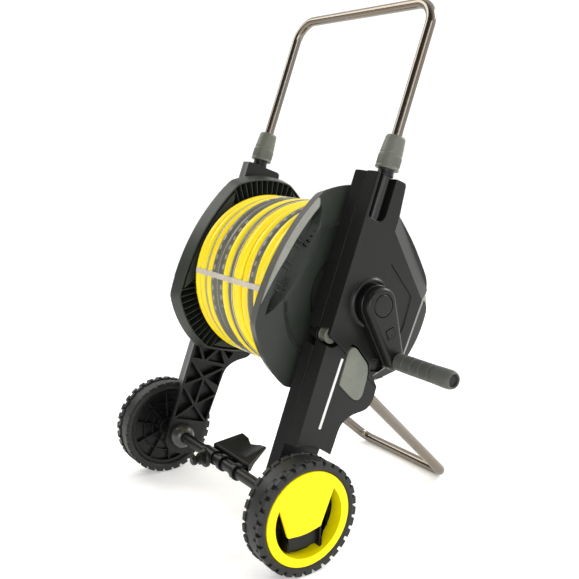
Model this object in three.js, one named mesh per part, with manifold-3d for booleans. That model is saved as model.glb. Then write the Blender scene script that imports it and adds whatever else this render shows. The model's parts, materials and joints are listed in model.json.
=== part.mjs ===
// Garden hose reel cart: two leaning side frames on a wheeled axle carry a cranked drum of hose
// between them, under a telescopic handle and in front of a bent steel stand.
//
// Millimetres, +Z up. The cart is drawn about its wheel axle and moved at the end so that the
// origin is the centre of its box, on the floor. +X is the crank side and +Y the stand side.
// Frame pieces are drawn in the lean frame: v runs rearwards across it and u runs up along it.

import * as THREE from "three";
import { mergeVertices } from "three/addons/utils/BufferGeometryUtils.js";
import Module from "manifold-3d";

const wasm = await Module();
wasm.setup();

const GAP = 0.3;
const RUNNING_GAP = 0.5;
const LEAN = THREE.MathUtils.degToRad(20.5);
const SIDES = [["right", 1], ["left", -1]];

const AXLE_HEIGHT = 85;
const AXLE_RADIUS = 9.5;
const AXLE_HALF_LENGTH = 236;
const WHEEL_OUTER_X = 242.5;
const WHEEL_WIDTH = 44.5;
const TYRE_INNER = 71;
const TREAD_HEIGHT = 2.6;
const LUGS = 28;
const COVER_RING = 60;
const WEB_BACK = -9;
const WEB_FRONT = -4;

const INNER_FACE = 150;
const COVER_FACE = 167.5;
const OUTER_FACE = 190;
const COVER_FRONT = -22.5;
const LEG_FRONT = -29;
const FRAME_TOP = 505;

const TUBE_X = 174;
const TUBE_V = 8.5;
const GUIDE_RADIUS = 9.75;
const GUIDE_BORE = 8.3;
const GUIDE_BOTTOM = 271;
const GUIDE_TOP = 530;
const HANDLE_RADIUS = 8;
const HANDLE_BOTTOM = 414;
const HANDLE_TOP = 778;
const HANDLE_BEND = 38;
const CLAMP_BOTTOM = 515.3;
const CLAMP_TOP = 566.5;

const DRUM_V = 39.5;
const DRUM_U = 319.5;
const SHAFT_RADIUS = 15;
const BUSH_RADIUS = 19;
const FLANGE_INNER_X = 112;
const FLANGE_OUTER_X = 138;
const FLANGE_RADIUS = 172;
const FLANGE_FLAT = 148;
const FLAT_RADIUS = 357.4;
const FLAT_TURNS = [0, 120, 240];
const FLANGE_DEGREES = -12.8;
const FLANGE_RIBS = 18;
const CORE_RADIUS = 106.5;
const HOSE_RADIUS = 8.25;
const WINDING_RADIUS = 140.2;
const TAIL_X = -96;
const TAIL_RISE = 6.5;
const BAND_DEGREES = 11.5;

const CRANK_BASE_X = 191.6;
const CRANK_PLATE_X = 194.6;
const CRANK_TOP_X = 205.3;
const CRANK_FACE_X = 220;
const CRANK_LENGTH = 94;
const CRANK_TURN = THREE.MathUtils.degToRad(-50.9);
const GRIP_START = 221;
const GRIP_END = 337;
const GRIP_RADIUS = 13.7;

const KNUCKLE_V = -10;
const KNUCKLE_U = 256;
const KNUCKLE_RADIUS = 13;
const PIN_RADIUS = 15;
const KNUCKLE_OUT = 184;
const COVER_SWEEP = 16.5;
const RIB_SWEEP = 24.5;
const SEAM_START = 247;
const SEAM_SLOPE = -0.49;

const STAND_RADIUS = 9;
const STAND_REAR = 394;

// ---- Solids ----

function faces(index, positions) {
  const kept = [];
  for (let i = 0; i < index.length; i += 3) {
    const [a, b, c] = [index[i], index[i + 1], index[i + 2]];
    if (a !== b && b !== c && c !== a) kept.push(a, b, c);
  }
  let volume = 0;
  const [p, q, r] = [new THREE.Vector3(), new THREE.Vector3(), new THREE.Vector3()];
  for (let i = 0; i < kept.length; i += 3) {
    p.fromArray(positions, 3 * kept[i]);
    q.fromArray(positions, 3 * kept[i + 1]);
    r.fromArray(positions, 3 * kept[i + 2]);
    volume += p.dot(q.cross(r));
  }
  return volume < 0 ? kept.reverse() : kept;
}

function solidOf(geometry) {
  geometry.deleteAttribute("normal");
  geometry.deleteAttribute("uv");
  const merged = mergeVertices(geometry, 1e-4);
  const vertProperties = Float32Array.from(merged.attributes.position.array);
  const triVerts = Uint32Array.from(faces(merged.index.array, vertProperties));
  return new wasm.Manifold(new wasm.Mesh({ numProp: 3, vertProperties, triVerts }));
}

function geometryOf(solid) {
  const mesh = solid.getMesh();
  const geometry = new THREE.BufferGeometry();
  const positions = new Float32Array(mesh.vertProperties);
  geometry.setAttribute("position", new THREE.BufferAttribute(positions, 3));
  geometry.setIndex(new THREE.BufferAttribute(new Uint32Array(mesh.triVerts), 1));
  return geometry;
}

function join(...solids) {
  return solids.reduce((whole, solid) => whole.add(solid));
}

function cut(solid, ...tools) {
  return tools.reduce((rest, tool) => rest.subtract(tool), solid);
}

// A point so far from here towards there, but no further than most of half way.
function towards(here, there, distance) {
  const step = there.clone().sub(here);
  return step.setLength(Math.min(distance, 0.45 * step.length())).add(here);
}

// A closed outline from [a, b, corner radius] corners.
function outline(corners) {
  const shape = new THREE.Shape();
  const points = corners.map(([a, b]) => new THREE.Vector2(a, b));
  corners.forEach(([, , radius = 0], i) => {
    const here = points[i];
    const before = towards(here, points.at(i - 1), radius);
    const after = towards(here, points[(i + 1) % points.length], radius);
    if (i === 0) shape.moveTo(before.x, before.y);
    else shape.lineTo(before.x, before.y);
    if (radius > 0) shape.quadraticCurveTo(here.x, here.y, after.x, after.y);
  });
  return shape;
}

// An outline in the plane of (v, u), or of (Y, Z), from x0 to x1.
function slab(corners, x0, x1) {
  const shape = Array.isArray(corners) ? outline(corners) : corners;
  const options = { depth: x1 - x0, bevelEnabled: false, curveSegments: 3 };
  const geometry = new THREE.ExtrudeGeometry(shape, options);
  const [x, y, z] = [[1, 0, 0], [0, 1, 0], [0, 0, 1]].map((axis) => new THREE.Vector3(...axis));
  geometry.applyMatrix4(new THREE.Matrix4().makeBasis(y, z, x));
  geometry.translate(x0, 0, 0);
  return solidOf(geometry);
}

// A closed profile of [radius, x] points turned about the X axis, then moved to (v, u).
function turned(profile, segments = 32, v = 0, u = 0) {
  const points = [...profile, profile[0]].map(([r, x]) => new THREE.Vector2(r, x));
  const geometry = new THREE.LatheGeometry(points, segments);
  const [x, y, z] = [[1, 0, 0], [0, 1, 0], [0, 0, 1]].map((axis) => new THREE.Vector3(...axis));
  geometry.applyMatrix4(new THREE.Matrix4().makeBasis(z, x, y));
  geometry.translate(0, v, u);
  return solidOf(geometry);
}

function disc(radius, x0, x1, v = 0, u = 0, segments = 24) {
  return turned([[0, x0], [radius, x0], [radius, x1], [0, x1]], segments, v, u);
}

function ring(inner, outer, x0, x1, v = 0, u = 0, segments = 24) {
  return turned([[inner, x0], [outer, x0], [outer, x1], [inner, x1]], segments, v, u);
}

// The same closed profile turned about the u axis, at (x, v).
function upright(profile, x, v, segments = 16) {
  const points = [...profile, profile[0]].map(([r, u]) => new THREE.Vector2(r, u));
  const geometry = new THREE.LatheGeometry(points, segments);
  geometry.rotateX(Math.PI / 2);
  geometry.translate(x, v, 0);
  return solidOf(geometry);
}

function post(radius, u0, u1, x, v, segments = 16) {
  return upright([[0, u0], [radius, u0], [radius, u1], [0, u1]], x, v, segments);
}

function box(x0, x1, v0, v1, u0, u1) {
  const geometry = new THREE.BoxGeometry(x1 - x0, v1 - v0, u1 - u0);
  geometry.translate((x0 + x1) / 2, (v0 + v1) / 2, (u0 + u1) / 2);
  return solidOf(geometry);
}

function mirrored(solid) {
  return solid.mirror([1, 0, 0]);
}

// Takes the corner off a slab's face x along the edge p to q, whose solid side is inward.
function shaved(solid, p, q, inward, width, depth, x) {
  const side = new THREE.Vector2(...inward).normalize();
  const reach = 20;
  const far = x + Math.sign(depth) * reach;
  const section = [[x, width], [x - depth, 0], [x - depth, -reach], [far, -reach], [far, width]];
  const ends = [p, q].map(([v, u]) => section.map(([sx, t]) => [sx, v + side.x * t, u + side.y * t]));
  const positions = new Float32Array(ends.flat(2));
  const n = section.length;
  const triangles = [];
  for (let i = 1; i < n - 1; i += 1) triangles.push(0, i + 1, i, n, n + i, n + i + 1);
  for (let i = 0; i < n; i += 1) {
    const j = (i + 1) % n;
    triangles.push(i, j, n + j, i, n + j, n + i);
  }
  const triVerts = Uint32Array.from(faces(triangles, positions));
  const wedge = new wasm.Manifold(new wasm.Mesh({ numProp: 3, vertProperties: positions, triVerts }));
  return solid.subtract(wedge);
}

// A line through fixed stations, so that a swept tube has rings only where it needs them.
class Stations extends THREE.Curve {
  constructor(points) {
    super();
    this.points = points;
  }

  getPoint(t, target = new THREE.Vector3()) {
    const last = this.points.length - 1;
    const at = Math.min(Math.floor(t * last + 1e-6), last - 1);
    return target.lerpVectors(this.points[at], this.points[at + 1], t * last - at);
  }

  getPointAt(t, target) {
    return this.getPoint(t, target);
  }

  getTangent(t, target = new THREE.Vector3()) {
    const last = this.points.length - 1;
    const at = Math.round(t * last);
    const before = this.points[Math.max(at - 1, 0)];
    const after = this.points[Math.min(at + 1, last)];
    const here = this.points[at];
    const into = here.clone().sub(before).normalize();
    return target.copy(after).sub(here).normalize().add(into).normalize();
  }

  getTangentAt(t, target) {
    return this.getTangent(t, target);
  }
}

// The corners joined by straight lines, with each inner corner rounded in a few steps.
function bentLine(corners, radius, steps = 6) {
  const points = corners.map((corner) => new THREE.Vector3(...corner));
  const line = [points[0]];
  for (let i = 1; i < points.length - 1; i += 1) {
    const into = points[i].clone().sub(points[i - 1]).normalize();
    const out = points[i + 1].clone().sub(points[i]).normalize();
    const angle = into.angleTo(out);
    const start = points[i].clone().addScaledVector(into, -radius * Math.tan(angle / 2));
    const inside = out.clone().addScaledVector(into, -into.dot(out)).normalize();
    for (let k = 0; k <= steps; k += 1) {
      const turn = (angle * k) / steps;
      const step = start.clone().addScaledVector(into, radius * Math.sin(turn));
      line.push(step.addScaledVector(inside, radius * (1 - Math.cos(turn))));
    }
  }
  line.push(points.at(-1));
  return line;
}

function tube(points, radius, segments = 12) {
  const section = new THREE.Shape();
  for (let i = 0; i < segments; i += 1) {
    const angle = (2 * Math.PI * i) / segments;
    const [x, y] = [radius * Math.cos(angle), radius * Math.sin(angle)];
    if (i === 0) section.moveTo(x, y);
    else section.lineTo(x, y);
  }
  const options = { steps: points.length - 1, extrudePath: new Stations(points) };
  return solidOf(new THREE.ExtrudeGeometry(section, options));
}

// ---- Materials ----

function finish(color, roughness, metalness = 0) {
  return new THREE.MeshStandardMaterial({ color, roughness, metalness });
}

const coverPlastic = finish(0x2b2d2e, 0.45);
const ribPlastic = finish(0x161718, 0.5);
const flangePlastic = finish(0x1c1e1e, 0.42);
const greyPlastic = finish(0x7d8073, 0.5);
const buttonPlastic = finish(0x92958a, 0.55);
const gripRubber = finish(0x696b66, 0.7);
const yellowPlastic = finish(0xffee14, 0.35);
const tyreRubber = finish(0x343434, 0.8);
const hoseYellow = finish(0xf5cf00, 0.45);
const chrome = finish(0xc9c4bc, 0.15, 1);
const darkSteel = finish(0x4a4a48, 0.3, 1);
const bandPlastic = finish(0xd9d4c8, 0.4);

const cart = new THREE.Group();
const lean = new THREE.Group();
lean.rotation.x = -LEAN;
lean.position.z = AXLE_HEIGHT;
cart.add(lean);

function place(name, solid, material, parent) {
  const mesh = new THREE.Mesh(geometryOf(solid), material);
  mesh.name = name;
  parent.add(mesh);
  return mesh;
}

// A solid drawn for the +X side and its mirror image for the -X side.
function placePair(name, solid, material, parent) {
  place(`${name}_right`, solid, material, parent);
  place(`${name}_left`, mirrored(solid), material, parent);
}

// ---- Wheels ----

function tyre() {
  const half = WHEEL_WIDTH / 2;
  const base = AXLE_HEIGHT - TREAD_HEIGHT;
  const profile = [
    [TYRE_INNER, -half + 3], [75, -half], [base - 1, -half + 1],
    [base - 1, half - 1], [75, half], [TYRE_INNER, half - 3],
  ];
  let solid = turned(profile, 28);
  for (let i = 0; i < LUGS; i += 1) {
    const lug = new THREE.BoxGeometry(half + 3, 9.5, 2 * TREAD_HEIGHT);
    lug.rotateZ(i % 2 ? 0.25 : -0.25);
    lug.translate(i % 2 ? half / 2 - 2.5 : 2.5 - half / 2, 0, AXLE_HEIGHT - TREAD_HEIGHT);
    lug.rotateX((2 * Math.PI * i) / LUGS);
    solid = solid.add(solidOf(lug));
  }
  return solid;
}

function rim() {
  const outer = TYRE_INNER - GAP;
  const bore = AXLE_RADIUS + GAP;
  const profile = [
    [bore, -19], [17, -19], [17, WEB_BACK], [63, WEB_BACK], [63, -17], [outer, -17],
    [outer, 16.5], [63, 16.5], [63, WEB_FRONT], [17, WEB_FRONT], [17, 12], [bore, 12],
  ];
  let solid = turned(profile, 28);
  for (let i = 0; i < 10; i += 1) {
    const turn = (i * Math.PI) / 5;
    const spoke = new THREE.BoxGeometry(14, 3, 49);
    spoke.translate(-9, 0, 40);
    spoke.rotateX(turn);
    solid = solid.add(solidOf(spoke));
  }
  const boards = [[[-42, 16], [-31, -16], [-31, -46], [-35, -44], [-35, -16], [-46, 16]],
    [[38, 24], [23, -12], [23, -50], [27, -49], [27, -12], [42, 24]]];
  return join(solid, ...boards.map((corners) => slab(corners, WEB_FRONT - 1, 14)));
}

// The ring and shield of a wheel cover, open below the shield in a U.
function wheelCover() {
  const half = WHEEL_WIDTH / 2;
  const plate = turned([
    [0, half - 5], [TYRE_INNER - GAP, half - 5], [TYRE_INNER - GAP, half - 1],
    [TYRE_INNER - 1.5, half], [0, half],
  ], 28);
  const wall = ring(COVER_RING - 3, COVER_RING, WEB_FRONT + 2.3, half - 4, 0, 0, 32);
  const shield = slab([
    [-51, 33], [-36, -18, 2], [-8, -20.5, 20], [20, -14.5, 2], [45, 41], [0, 75],
  ], half - 20, half + 1);
  const opening = disc(COVER_RING - 3, half - 6, half + 1, 0, 0, 32).subtract(shield);
  return join(plate, wall).subtract(opening);
}

function buildWheel(name, sign) {
  const wheel = new THREE.Group();
  wheel.position.set(sign * (WHEEL_OUTER_X - WHEEL_WIDTH / 2), 0, AXLE_HEIGHT);
  cart.add(wheel);
  const turn = sign > 0 ? (solid) => solid : mirrored;
  place(`tyre_${name}`, turn(tyre()), tyreRubber, wheel);
  place(`wheel_rim_${name}`, turn(rim()), ribPlastic, wheel);
  place(`wheel_cover_${name}`, turn(wheelCover()), yellowPlastic, wheel);
}

// ---- Side frames ----

function seamAt(v) {
  return SEAM_START + SEAM_SLOPE * v;
}

const UPPER_OUTLINE = [
  [COVER_FRONT, FRAME_TOP, 4], [41, FRAME_TOP, 6], [46, 462, 4], [66, 458, 8], [110, 428, 30],
  [157, 385, 14], [165, 366, 14], [164, 345, 8], [158, 262, 12], [112, 220, 12],
  [101, seamAt(101) + GAP], [COVER_FRONT, seamAt(COVER_FRONT) + GAP],
];
const EAR_OUTLINE = [
  [COVER_FRONT, FRAME_TOP, 4], [41, FRAME_TOP, 6], [46.5, 455], [46.5, 380], [COVER_FRONT, 380],
];
const LOWER_OUTLINE = [
  [COVER_FRONT, seamAt(COVER_FRONT)], [101, seamAt(101)], [102, 176, 10], [94, 161, 8],
  [66, 148, 14], [52, 131, 10], [50, 84], [36, 88.5], [20, 92], [4, 93], [-8, 92], [-19, 87],
  [COVER_FRONT, 85.5],
];
const LEG_OUTLINE = [
  [LEG_FRONT, seamAt(LEG_FRONT)], [99.5, seamAt(99.5)], [97.5, 179, 10], [90, 163, 8],
  [64, 151, 12], [48.5, 133, 10], [43, 40], [43, -20, 16], [20, -33.5, 10], [-14, -33.5, 14],
  [LEG_FRONT, -14, 10],
];

function seamStep(v0, v1) {
  return [[v0, seamAt(v0)], [v1, seamAt(v1)]];
}

// Round room about the fold axis: the upper half clears the barrel, the lower one the fold's sweep.
function knuckleRoom(radius, x0, x1) {
  return disc(radius, x0, x1, KNUCKLE_V, KNUCKLE_U, 24);
}

// The latch button's outline, grown by a margin on every side.
function buttonOutline(margin) {
  const [midV, midU] = [51, 210];
  const corners = [
    [26, 189, 4], [25.5, 240, 5], [31, 249, 5], [39, 248, 5], [69, 229, 6], [75, 214, 8],
    [76.5, 181, 5], [72, 173, 5], [62, 171.5, 5],
  ];
  return corners.map(([v, u, radius]) => [
    v + (margin * (v - midV)) / 25, u + (margin * (u - midU)) / 38, radius,
  ]);
}

// Room for the button in the upper half, with its front side swept back about the fold axis.
const BUTTON_SWEEP = [
  [20, 180], [20, 231], [22, 237.3], [24.6, 243], [26.4, 249.5], [30, 252.5], [40.5, 250.5],
  [71, 231], [77.5, 214.5], [78, 180],
];

function guideChannel() {
  const bore = post(GUIDE_RADIUS + GAP, GUIDE_BOTTOM - GAP, FRAME_TOP + 1, TUBE_X, TUBE_V);
  const mouth = slab([[-12, 438, 4], [14, 436, 6], [20, 447, 3], [20, 506], [-12.5, 506]], TUBE_X, OUTER_FACE + 1);
  return join(bore, mouth);
}

function shaftBore() {
  return disc(BUSH_RADIUS + GAP, INNER_FACE - 1, OUTER_FACE + 8, DRUM_V, DRUM_U, 28);
}

function upperCover() {
  let solid = slab(UPPER_OUTLINE, COVER_FACE + GAP, OUTER_FACE);
  solid = shaved(solid, [38, 481.5], [184, 350.8], [-0.667, -0.745], 32, 20, OUTER_FACE);
  solid = shaved(solid, [167, 390], [156.5, 240], [-1, 0.07], 23, 20, OUTER_FACE);
  solid = shaved(solid, [175, 277], [95, 205], [-0.67, 0.74], 13, 16, OUTER_FACE);
  solid = join(solid, slab(EAR_OUTLINE, COVER_FACE + GAP, OUTER_FACE));
  solid = shaved(solid, [COVER_FRONT, 200], [COVER_FRONT, 520], [1, 0], 5.5, 22, OUTER_FACE);
  const hollowCorners = [[58, 384], [117, 347, 4], [119, 300, 4], [112, 266], [70, 262]];
  const hollow = slab(hollowCorners, OUTER_FACE - 2, 200);
  const thumbPocket = slab([[76, 238, 3], [112, 243, 6], [103, 222, 4], [78, 220, 2]], 178, 200);
  const boss = turned([[32, 189], [38, 189], [38, 191], [35, 194], [32, 194]], 28, DRUM_V, DRUM_U);
  const button = slab(BUTTON_SWEEP, 170, 200);
  solid = join(cut(solid, hollow, thumbPocket, button), boss);
  const room = knuckleRoom(KNUCKLE_RADIUS + RUNNING_GAP, COVER_FACE, KNUCKLE_OUT + GAP);
  return cut(solid, guideChannel(), shaftBore(), room);
}

function lowerCover() {
  let solid = slab(LOWER_OUTLINE, COVER_FACE + GAP, OUTER_FACE);
  solid = shaved(solid, [COVER_FRONT, 70], [COVER_FRONT, 300], [1, 0], 5.5, 22, OUTER_FACE);
  const button = slab(buttonOutline(0.5), 176.8, 200);
  return cut(solid, button, standBore(), knuckleRoom(COVER_SWEEP, COVER_FACE, 200));
}

// Triangular pockets between the diagonal ribs of an inner frame half.
function lattice(cells, x0, x1) {
  const pockets = cells.map((corners) => slab(corners, x0, x1));
  return join(...pockets);
}

const LEG_CELLS = [
  [[-24, 30], [4, 57], [-24, 84]], [[-20, 28], [38, 30], [7, 55]], [[40, 34], [43, 78], [10, 57]],
  [[-21, 88], [7, 61], [9, 106]], [[12, 61], [43, 84], [13, 105]], [[-24, 92], [5, 109], [-24, 133]],
  [[-20, 135], [9, 112], [44, 135]], [[-24, 141], [-4, 141], [-24, 170]],
  [[-18, 170], [2, 141], [22, 168]], [[8, 141], [44, 141], [27, 165]],
  [[-22, 176], [18, 174], [-22, 214]], [[-16, 218], [24, 176], [26, 218]],
];
const LEG_HOLES = [[[16, 109], [44, 100], [44, 130]], [[50, 152], [56, 165], [34, 165]]];
const UPPER_CELLS = [
  [[-24, 268], [10, 268], [-24, 302]], [[-18, 306], [14, 272], [12, 304]],
  [[-24, 310], [12, 310], [-24, 352]], [[-18, 354], [14, 314], [24, 354]],
  [[-24, 360], [26, 360], [-24, 402]], [[-16, 404], [32, 364], [38, 404]],
  [[-24, 410], [36, 410], [-20, 450]], [[-14, 452], [38, 414], [38, 452]],
  [[66, 300], [100, 272], [128, 300]], [[68, 306], [128, 306], [100, 336]],
  [[64, 312], [94, 340], [60, 366]], [[66, 372], [100, 344], [106, 366]],
  [[60, 292], [62, 240], [92, 270]], [[66, 236], [98, 232], [98, 264]],
  [[66, 378], [106, 372], [74, 424]], [[112, 372], [116, 410], [84, 424]],
  [[120, 368], [148, 372], [124, 402]], [[112, 341], [150, 362], [118, 361]],
  [[106, 337], [134, 308], [152, 350]], [[134, 298], [148, 272], [154, 338]],
  [[106, 266], [142, 266], [130, 292]],
];

function upperRib() {
  const edge = UPPER_OUTLINE.map(([v, u, radius]) => [v < -20 ? LEG_FRONT : v - 1, u, radius]);
  edge[0][1] = FRAME_TOP - 2;
  edge[1][1] = FRAME_TOP - 2;
  edge[10] = [100, seamAt(100) + GAP];
  edge[11] = [LEG_FRONT, seamAt(LEG_FRONT) + GAP];
  let solid = slab(edge, INNER_FACE, COVER_FACE);
  solid = shaved(solid, [LEG_FRONT, 200], [LEG_FRONT, 520], [1, 0], 6, 17.5, COVER_FACE);
  const cells = lattice(UPPER_CELLS, INNER_FACE - 1, COVER_FACE - 4);
  const room = knuckleRoom(PIN_RADIUS + RUNNING_GAP, 140, 200);
  return cut(solid, cells, guideChannel(), shaftBore(), room);
}

function lowerRib() {
  let solid = slab(LEG_OUTLINE, INNER_FACE, COVER_FACE);
  solid = shaved(solid, [LEG_FRONT, -40], [LEG_FRONT, 300], [1, 0], 6, 17.5, COVER_FACE);
  const cells = lattice(LEG_CELLS, INNER_FACE - 1, COVER_FACE - 4);
  const holes = lattice(LEG_HOLES, INNER_FACE - 1, COVER_FACE + 1);
  const axleBore = disc(AXLE_RADIUS + GAP, INNER_FACE - 1, 200, 0, 0, 24);
  return cut(solid, cells, holes, axleBore, standBore(), knuckleRoom(RIB_SWEEP, 140, 200));
}

// ---- Stand ----

// Points of the stand's line, about the axle, from one leg's top to the other's.
function standCorners() {
  const [cornerX, rise, back] = [110, 215, 234.3];
  const slope = 48;
  const along = 1.2;
  const top = [cornerX + slope * along, STAND_REAR - back * along, STAND_RADIUS + rise * along];
  const corner = [cornerX, STAND_REAR, STAND_RADIUS];
  const flip = ([x, y, z]) => [-x, y, z];
  return [top, corner, flip(corner), flip(top)];
}

function toLean([x, y, z]) {
  const [c, s] = [Math.cos(LEAN), Math.sin(LEAN)];
  return [x, c * y - s * (z - AXLE_HEIGHT), s * y + c * (z - AXLE_HEIGHT)];
}

function standBore() {
  const [top, corner] = standCorners().map((point) => new THREE.Vector3(...toLean(point)));
  const past = top.clone().lerp(corner, -0.003);
  return tube([past, corner], STAND_RADIUS + GAP, 16);
}

// ---- Front knuckles, buttons, foot plate and plug ----

function knuckle() {
  const barrel = ring(4.3, KNUCKLE_RADIUS, 168.3, KNUCKLE_OUT, KNUCKLE_V, KNUCKLE_U, 24);
  const slots = [box(171.5, 173.5, KNUCKLE_V - 14, KNUCKLE_V - 8, 250, 262),
    box(178.8, 180.8, KNUCKLE_V - 14, KNUCKLE_V - 8, 250, 262)];
  return cut(barrel, ...slots);
}

function knucklePin() {
  return turned([
    [0, 142.5], [10, 142.5], [12, 144.5], [12, 149], [PIN_RADIUS, 149.5], [PIN_RADIUS, 167.4],
    [4, 167.4], [4, KNUCKLE_OUT], [0, KNUCKLE_OUT],
  ], 20, KNUCKLE_V, KNUCKLE_U);
}

function latchButton() {
  return slab(buttonOutline(0), 180, 191.6);
}

function footPlate() {
  const side = [[13.2, 86, 1], [13.2, 95], [15, 98, 1], [60, 112, 2], [60, 108.5], [26, 93, 6], [20, 86, 2]];
  const plan = new THREE.Shape([[-62, 0], [62, 0], [36, 64], [-36, 64]]
    .map(([x, y]) => new THREE.Vector2(x, y)));
  const block = new THREE.ExtrudeGeometry(plan, { depth: 60, bevelEnabled: false });
  block.translate(0, 0, 70);
  let solid = slab(side, -64, 64);
  solid = solid.intersect(solidOf(block));
  const scoop = new THREE.CylinderGeometry(150, 150, 120, 64);
  scoop.translate(0, 40, 0);
  scoop.rotateX(THREE.MathUtils.degToRad(17.2));
  scoop.translate(0, 0, 246);
  solid = solid.subtract(solidOf(scoop));
  const ears = [0, 44].map((x) => join(
    ring(AXLE_RADIUS + GAP, 13.5, x - 5, x + 5, 0, AXLE_HEIGHT, 24),
    box(x - 5, x + 5, 10.5, 19, AXLE_HEIGHT - 4, AXLE_HEIGHT + 6),
  ));
  return join(solid, ...ears);
}

function accessoryPlug() {
  const sleeve = ring(AXLE_RADIUS + GAP, 12.6, -58, -24, 0, AXLE_HEIGHT, 20);
  const stem = new THREE.LatheGeometry([
    [0, 10.3], [16.5, 10.3], [16.5, 14], [14, 17], [10, 17], [10, 24], [6.5, 26], [6.5, 29],
    [8.5, 30.5], [8.5, 35.5], [6, 38], [0, 38],
  ].map(([r, y]) => new THREE.Vector2(r, y)), 18);
  stem.rotateZ(Math.PI);
  stem.translate(-41, 0, AXLE_HEIGHT - 2);
  const bore = disc(AXLE_RADIUS + GAP, -70, -10, 0, AXLE_HEIGHT, 24);
  return cut(join(sleeve, solidOf(stem)), bore);
}

function buildLowerFrame() {
  placePair("lower_cover", lowerCover(), coverPlastic, lean);
  placePair("lower_rib", lowerRib(), ribPlastic, lean);
  placePair("fold_knuckle", knuckle(), greyPlastic, lean);
  placePair("fold_pin", knucklePin(), ribPlastic, lean);
  placePair("latch_button", latchButton(), buttonPlastic, lean);
  const axle = disc(AXLE_RADIUS, -AXLE_HALF_LENGTH, AXLE_HALF_LENGTH, 0, 0, 24);
  place("axle_tube", axle, ribPlastic, lean);
  const dome = turned([
    [AXLE_RADIUS + GAP, INNER_FACE - GAP], [22.5, INNER_FACE - GAP], [22, 145], [19.5, 139],
    [15.5, 134], [12, 131.5], [AXLE_RADIUS + GAP, 131.5],
  ], 20);
  placePair("axle_dome", dome, darkSteel, lean);
  place("stand_bar", tube(bentLine(standCorners(), 22, 5), STAND_RADIUS, 16), chrome, cart);
  place("foot_plate", footPlate(), ribPlastic, cart);
  place("accessory_plug", accessoryPlug(), ribPlastic, cart);
}

// ---- Upper frame, clamps and handle ----

function clampCollar() {
  const [bottom, top] = [CLAMP_BOTTOM, CLAMP_TOP];
  const profile = [
    [GUIDE_RADIUS + GAP, bottom], [18, bottom], [18.4, bottom + 2.5], [17.2, bottom + 4],
    [17.6, bottom + 20], [15, top - 3], [13.6, top], [HANDLE_RADIUS + GAP, top],
    [HANDLE_RADIUS + GAP, GUIDE_TOP + GAP], [GUIDE_RADIUS + GAP, GUIDE_TOP + GAP],
  ];
  return upright(profile, TUBE_X, TUBE_V, 20);
}

function buildUpperFrame() {
  placePair("upper_cover", upperCover(), coverPlastic, lean);
  placePair("upper_rib", upperRib(), ribPlastic, lean);
  const guide = upright([[GUIDE_BORE, GUIDE_BOTTOM], [GUIDE_RADIUS, GUIDE_BOTTOM],
    [GUIDE_RADIUS, GUIDE_TOP], [GUIDE_BORE, GUIDE_TOP]], TUBE_X, TUBE_V);
  placePair("guide_tube", guide, darkSteel, lean);
  const neck = upright([[GUIDE_RADIUS + GAP, FRAME_TOP + GAP], [13, FRAME_TOP + GAP],
    [13, CLAMP_BOTTOM - GAP], [GUIDE_RADIUS + GAP, CLAMP_BOTTOM - GAP]], TUBE_X, TUBE_V);
  placePair("guide_neck", neck, ribPlastic, lean);
  const bush = ring(SHAFT_RADIUS + GAP, BUSH_RADIUS, INNER_FACE, OUTER_FACE, DRUM_V, DRUM_U, 28);
  placePair("drum_bush", bush, ribPlastic, lean);
  placePair("clamp_collar", clampCollar(), greyPlastic, lean);
  const line = bentLine([
    [TUBE_X, TUBE_V, HANDLE_BOTTOM], [TUBE_X, TUBE_V, HANDLE_TOP],
    [-TUBE_X, TUBE_V, HANDLE_TOP], [-TUBE_X, TUBE_V, HANDLE_BOTTOM],
  ], HANDLE_BEND, 8);
  place("handle_bar", tube(line, HANDLE_RADIUS, 16), chrome, lean);
}

// The tap inlet on the side away from the crank: a swivel elbow and its threaded nipple.
function buildInlet() {
  const elbow = join(
    ring(10, 20, -OUTER_FACE - 24, -OUTER_FACE - GAP - 3, DRUM_V, DRUM_U, 24),
    disc(20, -OUTER_FACE - 30, -OUTER_FACE - 23, DRUM_V, DRUM_U, 24),
    post(11, DRUM_U - 44, DRUM_U - 15, -OUTER_FACE - 16, DRUM_V, 20),
  );
  place("inlet_elbow", elbow, ribPlastic, lean);
  const nipple = upright([
    [6, DRUM_U - 66], [8.5, DRUM_U - 66], [8.5, DRUM_U - 62], [7, DRUM_U - 59], [8.5, DRUM_U - 56],
    [8.5, DRUM_U - 52], [13, DRUM_U - 50], [13, DRUM_U - 44.3], [6, DRUM_U - 44.3],
  ], -OUTER_FACE - 16, DRUM_V, 20);
  place("inlet_nipple", nipple, greyPlastic, lean);
}

// ---- Drum ----

const drum = new THREE.Group();
drum.position.set(0, DRUM_V, DRUM_U);
lean.add(drum);

// How far the rim is from the drum's axis: a circle with three bowed flats.
function rimRadius(angle) {
  const centre = FLAT_RADIUS - FLANGE_FLAT;
  const flats = FLAT_TURNS.map((degrees) => {
    const turn = angle - Math.PI - THREE.MathUtils.degToRad(degrees);
    if (Math.cos(turn) < 0.5) return FLANGE_RADIUS;
    return Math.sqrt(FLAT_RADIUS ** 2 - (centre * Math.sin(turn)) ** 2) - centre * Math.cos(turn);
  });
  return Math.min(FLANGE_RADIUS, ...flats);
}

// The lens of a hand-hold, between an arc beside the bowed flat and one bulging to the hub.
function gripLens(inset) {
  const half = 86 - 2 * inset;
  const arc = FLAT_RADIUS - 11 - inset;
  const outer = (z) => FLAT_RADIUS - FLANGE_FLAT - Math.sqrt(arc ** 2 - z ** 2);
  const tip = outer(half);
  const corners = [];
  for (let i = 0; i <= 6; i += 1) {
    const t = -1 + i / 3;
    corners.push([tip + (-89 - inset - tip) * (1 - t * t), half * t]);
  }
  return [...corners, [outer(half / 2), half / 2], [outer(0), 0], [outer(half / 2), -half / 2]];
}

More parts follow.
